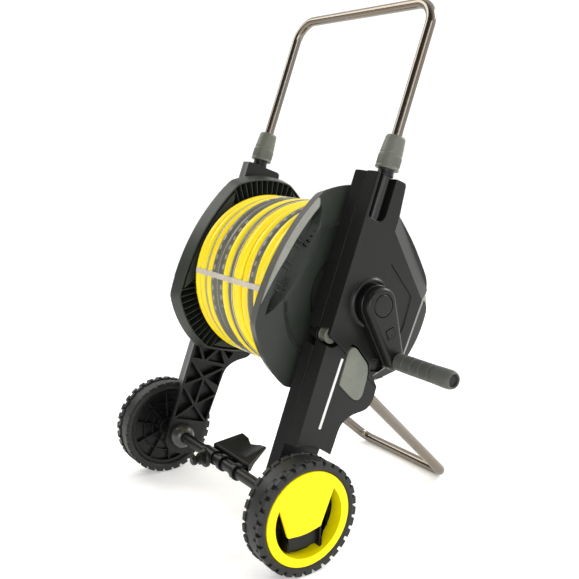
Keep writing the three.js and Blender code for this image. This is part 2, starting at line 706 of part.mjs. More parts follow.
function flangeRib(turn) {
  const [x0, x1] = [FLANGE_INNER_X, FLANGE_OUTER_X - 2];
  const length = rimRadius(turn + Math.PI / 2) - 110;
  const rib = new THREE.BoxGeometry(x1 - x0, 2, length);
  rib.translate((x0 + x1) / 2, 0, 108.5 + length / 2);
  rib.rotateX(turn);
  return solidOf(rib);
}

function flange() {
  const [x0, x1] = [FLANGE_INNER_X, FLANGE_OUTER_X];
  const bore = SHAFT_RADIUS + GAP;
  const wall = 3;
  const round = turned([
    [bore, x1 + 4], [30, x1 + 4], [30, x1 - 2], [48, x1 - 2], [50, x1 - 8], [67, x1 - 8],
    [69, x1 - 5], [115, x1 - 5], [118, x1], [FLANGE_RADIUS, x1], [FLANGE_RADIUS, x0],
    [FLANGE_RADIUS - wall, x0], [FLANGE_RADIUS - wall, x1 - wall], [112, x1 - 8], [bore, x1 - 11],
  ], 36);
  let solid = round.warp((point) => {
    const radius = Math.hypot(point[1], point[2]);
    if (radius < 150) return;
    const angle = Math.atan2(point[2], point[1]);
    const scale = (radius - FLANGE_RADIUS + rimRadius(angle)) / radius;
    point[1] *= scale;
    point[2] *= scale;
  });
  for (let i = 0; i < FLANGE_RIBS; i += 1) {
    solid = solid.add(flangeRib((2 * Math.PI * i) / FLANGE_RIBS));
  }
  const around = (shape) => join(...FLAT_TURNS.map((degrees) => shape.rotate([degrees, 0, 0])));
  const bars = [-42, 0, 42].flatMap((z) => [-5, 5].map((step) => (
    box(x0 + 3, x0 + 10, -132, -103, z + step - 1.5, z + step + 1.5)
  )));
  solid = join(solid, around(slab(gripLens(-3), x0 + 0.5, x1 - 2)));
  solid = cut(solid, around(slab(gripLens(0), x0 + 4, x1 + 1)));
  return join(solid, around(join(...bars))).rotate([FLANGE_DEGREES, 0, 0]);
}

// The hose wound on the core as one ring, its free end on top at the rear, and its connector.
function buildHose() {
  const half = FLANGE_INNER_X - 0.5;
  place("hose_coil", ring(CORE_RADIUS + GAP, WINDING_RADIUS, -half, half, 0, 0, 64), hoseYellow, drum);
  const path = [];
  const steps = 14;
  for (let i = 0; i <= steps; i += 1) {
    const angle = THREE.MathUtils.degToRad(-40 + (40 * i) / steps);
    const rise = TAIL_RISE * Math.max(0, (i - 8) / 6) ** 2;
    const radius = WINDING_RADIUS + GAP + HOSE_RADIUS + rise;
    path.push(new THREE.Vector3(TAIL_X, radius * Math.cos(angle), radius * Math.sin(angle)));
  }
  const end = path.at(-1).clone().setZ(path.at(-1).z + 4);
  path.push(end);
  place("hose_tail", tube(path, HOSE_RADIUS, 12), hoseYellow, drum);
  const connector = upright([
    [0, GAP], [10, GAP], [12.5, 3], [12.5, 14], [11, 16], [13.5, 18], [13.5, 36], [11, 40], [0, 40],
  ].map(([radius, u]) => [radius, end.z + u]), TAIL_X, end.y, 20);
  place("hose_connector", connector, greyPlastic, drum);
  const band = ring(WINDING_RADIUS + GAP, WINDING_RADIUS + 1.4, -half, half, 0, 0, 120);
  const strip = box(-half - 1, half + 1, -200, -100, -4.5, 4.5).rotate([BAND_DEGREES, 0, 0]);
  place("hose_band", band.intersect(strip), bandPlastic, drum);
}

function crankPlate(hubRadius, endRadius, x0, x1) {
  const shape = new THREE.Shape();
  const slant = Math.asin((hubRadius - endRadius) / CRANK_LENGTH);
  const steps = 12;
  for (let i = 0; i <= steps; i += 1) {
    const angle = Math.PI / 2 - slant + ((Math.PI + 2 * slant) * i) / steps;
    const [a, b] = [hubRadius * Math.cos(angle), hubRadius * Math.sin(angle)];
    if (i === 0) shape.moveTo(a, b);
    else shape.lineTo(a, b);
  }
  for (let i = 0; i <= 8; i += 1) {
    const angle = -Math.PI / 2 + slant + ((Math.PI - 2 * slant) * i) / 8;
    shape.lineTo(CRANK_LENGTH + endRadius * Math.cos(angle), endRadius * Math.sin(angle));
  }
  return slab(shape, x0, x1);
}

function buildCrank() {
  const crank = new THREE.Group();
  crank.rotation.x = CRANK_TURN;
  drum.add(crank);
  const hub = disc(29, CRANK_BASE_X, CRANK_BASE_X + 4);
  const base = join(hub, crankPlate(29, 16, CRANK_PLATE_X, CRANK_TOP_X - GAP));
  place("crank_base", base, ribPlastic, crank);
  const capRoom = disc(18, CRANK_FACE_X - 4, CRANK_FACE_X + 1, 0, 0, 32);
  const catchRoom = box(CRANK_FACE_X - 4, CRANK_FACE_X + 1, 38, 54, -8, 8);
  const spindleRoom = disc(6, CRANK_TOP_X - 1, CRANK_FACE_X + 1, CRANK_LENGTH, 0, 20);
  const arm = cut(crankPlate(27.5, 15.5, CRANK_TOP_X, CRANK_FACE_X), capRoom, catchRoom, spindleRoom);
  place("crank_arm", arm, coverPlastic, crank);
  place("crank_cap", disc(16.6, CRANK_FACE_X - 3.7, CRANK_FACE_X + 0.6, 0, 0, 32), coverPlastic, crank);
  place("crank_catch", box(CRANK_FACE_X - 3.7, CRANK_FACE_X + 1, 39, 53, -7, 7), ribPlastic, crank);
  place("grip_spindle", disc(5.5, CRANK_TOP_X + GAP, GRIP_END - 12, CRANK_LENGTH, 0, 16), darkSteel, crank);
  const grooves = [242, 260, 278, 296].flatMap((x) => [
    [GRIP_RADIUS, x], [GRIP_RADIUS - 0.9, x + 0.8], [GRIP_RADIUS, x + 1.6],
  ]);
  const sleeve = turned([
    [6, GRIP_START], [GRIP_RADIUS - 1.5, GRIP_START], [GRIP_RADIUS, GRIP_START + 2], ...grooves,
    [GRIP_RADIUS + 0.6, GRIP_END - 12], [GRIP_RADIUS - 1, GRIP_END - 4], [9.3, GRIP_END],
    [9.3, GRIP_END - 5], [6, GRIP_END - 5],
  ], 20, CRANK_LENGTH, 0);
  place("grip_sleeve", sleeve, gripRubber, crank);
  const plug = turned([
    [0, GRIP_END - 4.7], [9, GRIP_END - 4.7], [9, GRIP_END - 1], [8, GRIP_END], [0, GRIP_END],
  ], 24, CRANK_LENGTH, 0);
  place("grip_plug", plug, ribPlastic, crank);
}

function buildDrum() {
  placePair("flange", flange(), flangePlastic, drum);
  const coreHalf = FLANGE_INNER_X - GAP;
  place("drum_core", ring(CORE_RADIUS - 3, CORE_RADIUS, -coreHalf, coreHalf, 0, 0, 48), ribPlastic, drum);
  const shaft = disc(SHAFT_RADIUS, -OUTER_FACE - GAP, CRANK_BASE_X - GAP, 0, 0, 28);
  place("drum_shaft", shaft, ribPlastic, drum);
  buildHose();
  buildCrank();
}

SIDES.forEach(([name, sign]) => buildWheel(name, sign));
buildLowerFrame();
buildUpperFrame();
buildInlet();
buildDrum();

// The origin moves from the axle's middle to the floor under the centre of the cart's box.
cart.position.x = -(GRIP_END - WHEEL_OUTER_X) / 2;
cart.position.y = -(STAND_REAR + STAND_RADIUS - AXLE_HEIGHT) / 2;

export default cart;
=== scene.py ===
import json
import math

import bmesh
import bpy
from mathutils import Matrix, Vector

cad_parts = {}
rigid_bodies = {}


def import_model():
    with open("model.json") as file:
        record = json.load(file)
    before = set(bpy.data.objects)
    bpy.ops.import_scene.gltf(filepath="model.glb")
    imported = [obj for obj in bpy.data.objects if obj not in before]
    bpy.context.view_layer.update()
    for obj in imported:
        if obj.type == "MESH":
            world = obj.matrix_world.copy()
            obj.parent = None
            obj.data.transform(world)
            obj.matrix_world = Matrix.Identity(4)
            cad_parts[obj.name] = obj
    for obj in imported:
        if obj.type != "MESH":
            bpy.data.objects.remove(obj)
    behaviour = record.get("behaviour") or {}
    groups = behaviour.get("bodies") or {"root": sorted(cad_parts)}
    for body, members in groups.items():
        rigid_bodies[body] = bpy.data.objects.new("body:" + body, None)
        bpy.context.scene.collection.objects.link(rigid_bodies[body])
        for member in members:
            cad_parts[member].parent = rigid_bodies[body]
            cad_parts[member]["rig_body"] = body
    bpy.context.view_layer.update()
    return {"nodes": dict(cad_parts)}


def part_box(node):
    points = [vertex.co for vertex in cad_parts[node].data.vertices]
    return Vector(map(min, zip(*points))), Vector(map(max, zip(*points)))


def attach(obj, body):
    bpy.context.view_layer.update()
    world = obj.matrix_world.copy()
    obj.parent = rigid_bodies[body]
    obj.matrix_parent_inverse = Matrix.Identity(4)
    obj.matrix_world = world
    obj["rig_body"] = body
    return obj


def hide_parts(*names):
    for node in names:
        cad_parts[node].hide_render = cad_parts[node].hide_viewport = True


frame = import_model()
scene = bpy.context.scene

MM = 0.001
TAU = 2 * math.pi
LEAN = math.radians(20.5)
DRUM_V, DRUM_U = 39.5, 319.5
CRANK_TURN = math.radians(-50.9)
AXLE_HEIGHT = 85
WHEEL_X = 220.25

axle_low, axle_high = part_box("axle_tube")
axle = (axle_low + axle_high) / 2
CART = Matrix.Translation((axle.x, axle.y, 0)) @ Matrix.Scale(MM, 4)
LEANED = CART @ Matrix.Translation((0, 0, AXLE_HEIGHT)) @ Matrix.Rotation(-LEAN, 4, "X")
DRUM = LEANED @ Matrix.Translation((0, DRUM_V, DRUM_U))
CRANK = DRUM @ Matrix.Rotation(CRANK_TURN, 4, "X")
MIRROR = Matrix.Scale(-1, 4, (1, 0, 0))
UPRIGHT = Matrix.Rotation(math.radians(-90), 4, "Y")
SIDES = (("right", Matrix.Identity(4)), ("left", MIRROR))


# ---- Camera ----

camera = bpy.data.objects.new("camera", bpy.data.cameras.new("camera"))
scene.collection.objects.link(camera)
camera.data.lens = 51.2
camera.data.sensor_width = 36
azimuth, elevation, roll = math.radians(55.68), math.radians(11.46), math.radians(-0.126)
back = Vector((
    math.sin(azimuth) * math.cos(elevation),
    -math.cos(azimuth) * math.cos(elevation),
    math.sin(elevation),
))
camera.location = (1.0644, -0.7855, 0.6334)
camera.rotation_mode = "QUATERNION"
camera.rotation_quaternion = back.to_track_quat("Z", "Y") @ Matrix.Rotation(roll, 3, "Z").to_quaternion()
scene.camera = camera


# ---- Shapes: each is a list of points and a list of faces ----

def lathe(profile, segments=96):
    """A closed (radius, x) profile turned about X."""
    points, rings, faces = [], [], []
    for radius, x in profile:
        if radius < 1e-6:
            rings.append([len(points)] * segments)
            points.append((x, 0, 0))
            continue
        rings.append(range(len(points), len(points) + segments))
        for i in range(segments):
            angle = TAU * i / segments
            points.append((x, radius * math.cos(angle), radius * math.sin(angle)))
    for a, b in zip(rings, rings[1:] + rings[:1]):
        for i in range(segments):
            j = (i + 1) % segments
            face = list(dict.fromkeys([a[i], b[i], b[j], a[j]]))
            if len(face) > 2:
                faces.append(face)
    return points, faces


def rounded(corners, radius=1.0, steps=3):
    """A closed outline with its corners rounded; a corner may carry its own radius."""
    count, line = len(corners), []
    for i, corner in enumerate(corners):
        here = Vector(corner[:2])
        before, after = Vector(corners[i - 1][:2]), Vector(corners[(i + 1) % count][:2])
        reach = corner[2] if len(corner) > 2 else radius
        if reach <= 0:
            line.append(tuple(here))
            continue
        start = here + (before - here) * min(0.45, reach / (before - here).length)
        end = here + (after - here) * min(0.45, reach / (after - here).length)
        for k in range(steps + 1):
            t = k / steps
            line.append(tuple(start * (1 - t) ** 2 + here * 2 * t * (1 - t) + end * t * t))
    return line


def slab(outline, x0, x1):
    """A (v, u) outline given thickness along X."""
    count = len(outline)
    points = [(x0, v, u) for v, u in outline] + [(x1, v, u) for v, u in outline]
    faces = [tuple(range(count)), tuple(range(count, 2 * count))]
    for i in range(count):
        j = (i + 1) % count
        faces.append((i, j, count + j, count + i))
    return points, faces


def block(x0, x1, v0, v1, u0, u1):
    return slab([(v0, u0), (v1, u0), (v1, u1), (v0, u1)], x0, x1)


def loft(rings):
    """Skins rings that have the same number of points, and caps the two ends."""
    count, points, faces = len(rings[0]), [p for ring in rings for p in ring], []
    for k in range(len(rings) - 1):
        for i in range(count):
            j = (i + 1) % count
            faces.append((k * count + i, k * count + j, (k + 1) * count + j, (k + 1) * count + i))
    faces.append(tuple(range(count)))
    faces.append(tuple(range((len(rings) - 1) * count, len(rings) * count)))
    return points, faces


def sweep(path, radius, sides=24):
    """A round tube along a path, with the same twist all along."""
    path = [Vector(p) for p in path]
    rings, normal = [], None
    for k, here in enumerate(path):
        along = (path[min(k + 1, len(path) - 1)] - path[max(k - 1, 0)]).normalized()
        if normal is None:
            normal = along.orthogonal()
        normal = (normal - along * normal.dot(along)).normalized()
        side = along.cross(normal)
        rings.append([
            here + radius * (math.cos(TAU * i / sides) * normal + math.sin(TAU * i / sides) * side)
            for i in range(sides)
        ])
    return loft(rings)


def bent(corners, radius, steps=16):
    """Straight runs joined by round bends."""
    corners = [Vector(c) for c in corners]
    line = [corners[0]]
    for before, here, after in zip(corners, corners[1:], corners[2:]):
        into, out = (here - before).normalized(), (after - here).normalized()
        angle = into.angle(out)
        inside = (out - into * into.dot(out)).normalized()
        start = here - into * radius * math.tan(angle / 2)
        for k in range(steps + 1):
            turn = angle * k / steps
            line.append(start + into * radius * math.sin(turn) + inside * radius * (1 - math.cos(turn)))
    line.append(corners[-1])
    spaced = [line[0]]
    for a, b in zip(line, line[1:]):
        cuts = max(1, round((b - a).length / 40))
        spaced += [a.lerp(b, k / cuts) for k in range(1, cuts + 1)]
    return spaced


def moved(shape, matrix):
    points, faces = shape
    return [matrix @ Vector(p) for p in points], faces


def together(*shapes):
    points, faces = [], []
    for some, more in shapes:
        faces += [tuple(i + len(points) for i in face) for face in more]
        points += list(some)
    return points, faces


def as_mesh(shape, name="work"):
    mesh = bpy.data.meshes.new(name)
    mesh.from_pydata([tuple(p) for p in shape[0]], [], shape[1])
    bm = bmesh.new()
    bm.from_mesh(mesh)
    bmesh.ops.recalc_face_normals(bm, faces=bm.faces)
    bm.to_mesh(mesh)
    bm.free()
    return mesh


def combined(shape, *tools, operation="DIFFERENCE"):
    """The shape with each tool cut from it, joined to it or kept in common with it."""
    body = bpy.data.objects.new("work", as_mesh(shape))
    scene.collection.objects.link(body)
    made = [body]
    for tool in tools:
        other = bpy.data.objects.new("tool", as_mesh(tool))
        scene.collection.objects.link(other)
        made.append(other)
        step = body.modifiers.new("cut", "BOOLEAN")
        step.operation, step.object, step.solver = operation, other, "EXACT"
    view = bpy.context.evaluated_depsgraph_get()
    mesh = bpy.data.meshes.new_from_object(body.evaluated_get(view))
    result = [v.co.copy() for v in mesh.vertices], [tuple(p.vertices) for p in mesh.polygons]
    for thing in made:
        bpy.data.meshes.remove(thing.data)
    bpy.data.meshes.remove(mesh)
    return result


def softened(mesh, width, segments=2, above=28):
    """Welds a mesh, merges its flat faces and bevels the edges sharper than an angle."""
    bm = bmesh.new()
    bm.from_mesh(mesh)
    bmesh.ops.remove_doubles(bm, verts=bm.verts, dist=2e-5)
    bmesh.ops.dissolve_limit(bm, angle_limit=math.radians(0.8), verts=bm.verts, edges=bm.edges)
    bmesh.ops.dissolve_degenerate(bm, dist=5e-5, edges=bm.edges)
    bmesh.ops.recalc_face_normals(bm, faces=bm.faces)
    limit = math.radians(above)
    sharp = [e for e in bm.edges if len(e.link_faces) == 2 and e.calc_face_angle(0) > limit]
    bmesh.ops.bevel(
        bm, geom=sharp, offset=width * MM, offset_type="OFFSET", segments=segments,
        profile=0.5, affect="EDGES", clamp_overlap=False, miter_outer="SHARP",
    )
    bm.to_mesh(mesh)
    bm.free()


def finished(mesh, name, material, body, nodes, smooth):
    for polygon in mesh.polygons:
        polygon.use_smooth = True
    mesh.set_sharp_from_angle(angle=math.radians(smooth))
    mesh.materials.clear()
    mesh.materials.append(material)
    thing = bpy.data.objects.new(name, mesh)
    scene.collection.objects.link(thing)
    even = thing.modifiers.new("even", "WEIGHTED_NORMAL")
    even.keep_sharp = True
    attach(thing, body)
    if nodes:
        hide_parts(*nodes)
    return thing


def piece(name, shape, at, material, body, nodes=(), bevel=0, segments=2, smooth=40, above=28):
    """One visible piece on a body, from a shape drawn in one of the cart's frames."""
    mesh = as_mesh(moved(shape, at), name)
    if bevel:
        softened(mesh, bevel, segments, above)
    mat, slot = material
    return finished(mesh, name, mat, body, nodes, smooth)


def dressed(node, material, bevel, segments=2):
    """A frame node's own shape with rounded edges."""
    mesh = frame["nodes"][node].data.copy()
    mesh.name = "fine_" + node
    softened(mesh, bevel, segments)
    mat, slot = material
    body = frame["nodes"][node]["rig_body"]
    return finished(mesh, "fine_" + node, mat, body, [node], 42)


# ---- Materials ----

def linear(hexcode):
    """A six-digit colour code as linear light."""
    parts = [int(hexcode[i:i + 2], 16) / 255 for i in (0, 2, 4)]
    return [c / 12.92 if c <= 0.04045 else ((c + 0.055) / 1.055) ** 2.4 for c in parts] + [1]


class Nodes:
    """A small helper that adds and links the nodes of one material."""

    def __init__(self, name):
        self.material = bpy.data.materials.new(name)
        self.material.use_nodes = True
        self.tree = self.material.node_tree
        self.shader = self.tree.nodes["Principled BSDF"]
        self.space = self.add("ShaderNodeTexCoord").outputs["Object"]

    def add(self, kind, inputs=None, **settings):
        node = self.tree.nodes.new(kind)
        for key, value in settings.items():
            setattr(node, key, value)
        for key, value in (inputs or {}).items():
            if isinstance(value, bpy.types.NodeSocket):
                self.tree.links.new(value, node.inputs[key])
            else:
                node.inputs[key].default_value = value
        return node

    def link(self, output, name):
        self.tree.links.new(output, self.shader.inputs[name])

    def noise(self, scale, detail=3, stretch=None):
        space = self.space
        if stretch:
            space = self.add("ShaderNodeMapping", {"Vector": space, "Scale": stretch}).outputs[0]
        inputs = {"Vector": space, "Scale": scale, "Detail": detail, "Roughness": 0.55}
        return self.add("ShaderNodeTexNoise", inputs).outputs["Fac"]

    def math(self, operation, a, b=0.0, c=0.0):
        inputs = {0: a, 1: b}
        if operation == "MULTIPLY_ADD":
            inputs[2] = c
        return self.add("ShaderNodeMath", inputs, operation=operation).outputs[0]

    def span(self, value, low, high, to_low=0.0, to_high=1.0):
        inputs = {"Value": value, "From Min": low, "From Max": high, "To Min": to_low, "To Max": to_high}
        return self.add("ShaderNodeMapRange", inputs).outputs[0]

    def mix(self, factor, a, b):
        node = self.add("ShaderNodeMix", data_type="RGBA")
        for socket, value in ((node.inputs[0], factor), (node.inputs[6], a), (node.inputs[7], b)):
            if isinstance(value, bpy.types.NodeSocket):
                self.tree.links.new(value, socket)
            else:
                socket.default_value = value
        return node.outputs[2]

    def bump(self, height, strength, distance, over=None):
        inputs = {"Height": height, "Strength": strength, "Distance": distance}
        if over is not None:
            inputs["Normal"] = over
        return self.add("ShaderNodeBump", inputs).outputs[0]


def plastic(slot, colour, dark, roughness=0.45, grain=700, depth=0.25, specular=0.5):
    """Moulded plastic: a fine spark-eroded grain, slow flow marks and uneven gloss."""
    n = Nodes(slot + "_plastic")
    flow = n.noise(9, 4, (1, 1, 0.45))
    fine = n.noise(grain, 2)
    n.link(n.mix(n.span(flow, 0.35, 0.68), linear(dark), linear(colour)), "Base Color")
    slow_shine = n.span(flow, 0.3, 0.7, roughness - 0.05, roughness + 0.05)
    n.link(n.math("ADD", slow_shine, n.span(fine, 0.3, 0.7, -0.03, 0.03)), "Roughness")
    n.link(n.bump(fine, depth, 0.0002), "Normal")
    n.shader.inputs["Specular IOR Level"].default_value = specular
    return n.material, slot


COVER = plastic("cover", "171816", "131412", 0.36, 900, 0.14, 0.3)
RIB = plastic("rib", "0f100f", "0b0c0b", 0.38, 700, 0.14, 0.34)
FLANGE = plastic("flange", "30342f", "282c27", 0.38, 520, 0.2, 0.34)
GLOSSY = plastic("rib", "1b1c1b", "151615", 0.24, 500, 0.06)
GREY = plastic("grey", "65675d", "5b5d53", 0.4, 1100, 0.18, 0.4)
# Pale grey for the chamfer beside each hand-hold: a painted highlight standing in for the light it catches.
HIGHLIGHT_GREY = plastic("flange", "9a9b92", "7f8078", 0.28, 900, 0.08)
# Near white for the strip along the lower frame's rear edge: a painted highlight standing in for its lit
# chamfer.
PALE = plastic("band", "e6e6e2", "dcdcd8", 0.4, 1100, 0.1)
BAND = plastic("band", "e2ddd0", "d2ccbe", 0.32, 300, 0.12)
YELLOW = plastic("yellow", "fff000", "ffea00", 0.34, 1300, 0.06, 0.25)


def dotted():
    """Grey plastic with a fine grid of raised dots, as on the latch buttons."""
    n = Nodes("button_plastic")
    flow = n.noise(30, 3)
    cells = n.add("ShaderNodeTexVoronoi", {"Vector": n.space, "Scale": 620, "Randomness": 0.0})
    dots = n.span(cells.outputs["Distance"], 0.2, 0.45, 1, 0)
    shade = n.mix(n.span(flow, 0.35, 0.65), linear("6c6f65"), linear("787b70"))
    n.link(n.mix(n.math("MULTIPLY", dots, 0.18), shade, linear("989b90")), "Base Color")
    n.link(n.span(flow, 0.3, 0.7, 0.5, 0.6), "Roughness")
    n.link(n.bump(dots, 0.5, 0.0003), "Normal")
    return n.material, "button"


def rubber(slot, colour, dark, roughness, grain, depth):
    """Rubber: matt, with a coarse mould texture and a slight dusty bloom."""
    n = Nodes(slot + "_rubber")
    bloom = n.noise(26, 5)
    fine = n.noise(grain, 3)
    n.link(n.mix(n.span(bloom, 0.38, 0.66), linear(dark), linear(colour)), "Base Color")
    n.link(n.span(bloom, 0.3, 0.7, roughness - 0.08, roughness + 0.06), "Roughness")
    n.link(n.bump(fine, depth, 0.0004), "Normal")
    n.shader.inputs["Specular IOR Level"].default_value = 0.4
    return n.material, slot


def metal(slot, colour, roughness, draw=(1, 1, 1)):
    """Plated or polished tube: faint drawing lines and a slow change of gloss."""
    n = Nodes(slot + "_metal")
    n.shader.inputs["Metallic"].default_value = 1
    slow = n.noise(7, 3)
    lines = n.noise(420, 2, draw)
    warm = [c * f for c, f in zip(linear(colour), (1.0, 0.93, 0.85))][:3] + [1]
    n.link(n.mix(n.span(slow, 0.35, 0.65), linear(colour), warm), "Base Color")
    n.link(n.span(lines, 0.3, 0.7, roughness - 0.03, roughness + 0.05), "Roughness")
    n.link(n.bump(lines, 0.06, 0.0001), "Normal")
    return n.material, slot


BUTTON = dotted()
TYRE = rubber("tyre", "242523", "1a1b1a", 0.5, 420, 0.4)
GRIP = rubber("grip", "585a55", "4d4f4a", 0.55, 1400, 0.25)
CHROME = metal("chrome", "7b756d", 0.17, (1, 1, 0.05))
DARK_STEEL = metal("dark_steel", "8d8c86", 0.3, (1, 1, 0.05))
BOSS = plastic("dark_steel", "34342f", "2a2a26", 0.3, 900, 0.1, 0.7)


def hose_material():
    """PVC hose: a wide grey stripe with pale border lines on yellow, over a knitted layer.

    The mesh carries the angle round the hose as a cosine and a sine, and the distance along it.
    """
    n = Nodes("hose_pvc")
    turn = n.add("ShaderNodeAttribute", attribute_name="hose_turn").outputs["Vector"]
    split = n.add("ShaderNodeSeparateXYZ", {0: turn}).outputs
    angle = n.math("ARCTAN2", split[1], split[0])
    spread = n.math("ABSOLUTE", angle)
    along = split[2]

    def step(value, at, soft=0.02):
        return n.span(value, at - soft, at + soft)

    def between(value, low, high, soft=0.02):
        return n.math("MULTIPLY", step(value, low, soft), n.math("SUBTRACT", 1.0, step(value, high, soft)))

    def wave(pitch, twist):
        return n.math("SINE", n.math("MULTIPLY_ADD", along, TAU / pitch, n.math("MULTIPLY", angle, twist)))

    knit = n.math("MULTIPLY", wave(0.0042, 8.0), wave(0.0042, -8.0))
    slow = n.noise(14, 3)
    yellow = n.mix(n.span(slow, 0.35, 0.65), linear("ffe000"), linear("ffea00"))
    yellow = n.mix(n.span(knit, -1, 1, 0.0, 0.3), yellow, linear("fbd000"))
    grey = n.mix(n.span(slow, 0.35, 0.65), linear("55564f"), linear("62635c"))
    colour = n.mix(n.math("SUBTRACT", 1.0, step(spread, 1.36)), yellow, grey)
    colour = n.mix(between(spread, 1.1, 1.2), colour, linear("efe9b0"))
    dash = n.math("FRACT", n.math("MULTIPLY", along, 1 / 0.016))
    group = n.math("FRACT", n.math("MULTIPLY", along, 1 / 0.21))
    grouped = n.math("SUBTRACT", 1.0, step(group, 0.7, 0.01))
    marks = n.math("MULTIPLY", between(dash, 0.18, 0.62, 0.05), grouped)
    marks = n.math("MULTIPLY", marks, n.math("SUBTRACT", 1.0, step(spread, 0.2, 0.04)))
    colour = n.mix(n.math("MULTIPLY", marks, 0.5), colour, linear("b9b8ae"))
    n.link(colour, "Base Color")
    n.link(n.span(n.noise(60, 3), 0.3, 0.7, 0.3, 0.42), "Roughness")
    n.link(n.bump(knit, 0.12, 0.0003), "Normal")
    n.shader.inputs["Coat Weight"].default_value = 0.12
    n.shader.inputs["Coat Roughness"].default_value = 0.25
    return n.material, "hose"


HOSE = hose_material()


# ---- The hose ----

HOSE_DIAMETER = 0.0165
HOSE_SIDES = 16
HOSE_STEP = 4
INNER_RADIUS, OUTER_RADIUS, TAIL_RADIUS = 115.05, 131.7, 148.75
INNER_TURNS = [-102 + 17 * i for i in range(13)]
OUTER_TURNS = [103.0, 86.4, 69.7, 53.0, 30.0, 12.5, -6.5, -24.5, -43.0, -62.6, -79.3, -96.0]
# Where the grey stripe's middle faces on each outer turn's front: 0 is outwards, 90 towards +X.
OUTER_STRIPES = [190, 180, 20, 170, 185, -32, -175, 48, 15, -62, -140, -105]
ZONE = 75
CLIMB_START = 22.5
INNER_END = 360 * len(INNER_TURNS) + CLIMB_START
HOSE_START = 100
HOSE_END = INNER_END - CLIMB_START + 360 * len(OUTER_TURNS)


def smooth(t):
    t = min(max(t, 0.0), 1.0)
    return t * t * (3 - 2 * t)


def across(turns, i, local, start):
    """The X of a turn that moves over to the next one from a given angle on."""
    following = turns[min(i + 1, len(turns) - 1)]
    return turns[i] + (following - turns[i]) * smooth((local - start) / ZONE)


def hose_at(total):
    """X and radius of the hose after so many degrees of winding."""
    if total < INNER_END:
        i = max(0, int((total - 120) // 360))
        rise = smooth((total - HOSE_START) / 30)
        radius = 106.5 + (INNER_RADIUS - 106.5) * rise
        last = i == len(INNER_TURNS) - 1
        return across(INNER_TURNS, i, total - 360 * i, 1e4 if last else 405), radius
    j = min(int((total - INNER_END) // 360), len(OUTER_TURNS) - 1)
    local = total - INNER_END + CLIMB_START - 360 * j
    x, radius = across(OUTER_TURNS, j, local, 382.5 - ZONE), OUTER_RADIUS
    if j == 0 and local < CLIMB_START + ZONE:
        t = smooth((local - CLIMB_START) / ZONE)
        return INNER_TURNS[-1] + (x - INNER_TURNS[-1]) * t, INNER_RADIUS + (radius - INNER_RADIUS) * t
    if j == len(OUTER_TURNS) - 1:
        radius += (TAIL_RADIUS - radius) * smooth((local - 262) / 56)
        radius += 6.5 * max(0.0, (local - 342.86) / 17.14) ** 2
    return x, radius


def stripe_at(total):
    """The stripe's direction: steady across the front, turning as the hose passes the rear."""
    front = (total - INNER_END + CLIMB_START - 265) / 360
    if front < -1:
        return OUTER_STRIPES[0] + 40 * math.sin(total / 190)
    j = math.floor(front)
    before = OUTER_STRIPES[max(j, 0)]
    after = OUTER_STRIPES[min(j + 1, len(OUTER_STRIPES) - 1)]
    change = (after - before + 180) % 360 - 180
    earlier = sum(
        (b - a + 180) % 360 - 180 - (b - a)
        for a, b in zip(OUTER_STRIPES[:max(j, 0)], OUTER_STRIPES[1:max(j, 0) + 1])
    )
    return before + earlier + change * smooth((front - j) * 360 / 155)


def hose():
    steps = round((HOSE_END - HOSE_START) / HOSE_STEP)
    path, stripes = [], []
    for k in range(steps + 1):
        total = HOSE_START + (HOSE_END - HOSE_START) * k / steps
        x, radius = hose_at(total)
        angle = math.radians(total)
        path.append(Vector((x, radius * math.cos(angle), radius * math.sin(angle))))
        stripes.append(math.radians(stripe_at(total)))
    path.append(path[-1] + Vector((0, 0, 4)))
    stripes.append(stripes[-1])
    rings, turns, along = [], [], 0.0
    for k, here in enumerate(path):
        if k:
            along += (here - path[k - 1]).length * MM
        tangent = (path[min(k + 1, len(path) - 1)] - path[max(k - 1, 0)]).normalized()
        out = Vector((0, here.y, here.z))
        out = (out - tangent * out.dot(tangent)).normalized()
        aside = Vector((1, 0, 0)) - tangent * tangent.x
        aside = (aside - out * aside.dot(out)).normalized()
        ring = []
        for i in range(HOSE_SIDES):
            turn = TAU * i / HOSE_SIDES
            ring.append(here + HOSE_DIAMETER / MM / 2 * (out * math.cos(turn) + aside * math.sin(turn)))
            turns += [math.cos(turn - stripes[k]), math.sin(turn - stripes[k]), along]
        rings.append(ring)
    mesh = as_mesh(moved(loft(rings), DRUM), "hose")
    layer = mesh.attributes.new("hose_turn", "FLOAT_VECTOR", "POINT")
    layer.data.foreach_set("vector", turns)
    thing = finished(mesh, "hose", HOSE[0], "drum", ["hose_coil", "hose_tail"], 60)
    thing.modifiers.clear()
    return thing, [DRUM @ p for p in path], along


hose_piece, hose_path, hose_length = hose()


def connector():
    """A quick connector: knurled nut, collar, release sleeve with finger ridges and a nozzle."""
    profile = rounded([
        (0, 0.3, 0), (9.5, 0.3), (11.5, 1.2), (12.4, 3), (12.4, 14), (11, 15.2), (11, 16.6), (12.6, 17.4),
        (13.4, 20), (12.7, 22.2), (13.4, 24.4), (12.7, 26.6), (13.4, 28.8), (12.7, 31), (13.4, 33.4),
        (12.4, 36), (10.8, 37), (10.8, 39.8), (7.6, 40), (7.6, 34), (0, 34, 0),
    ], 0.7)
    lugs = [
        moved(block(3, 13.6, -1, 1, 11.6, 12.9), Matrix.Rotation(TAU * i / 18, 4, "X")) for i in range(18)
    ]
    return together(lathe(profile, 64), *lugs)


TAIL_X = OUTER_TURNS[-1]
TAIL_TOP = 4
CONNECTOR = DRUM @ Matrix.Translation((TAIL_X, TAIL_RADIUS + 6.5, TAIL_TOP)) @ UPRIGHT
connector_piece = piece("hose_end", connector(), CONNECTOR, GREY, "drum", ["hose_connector"], smooth=35)


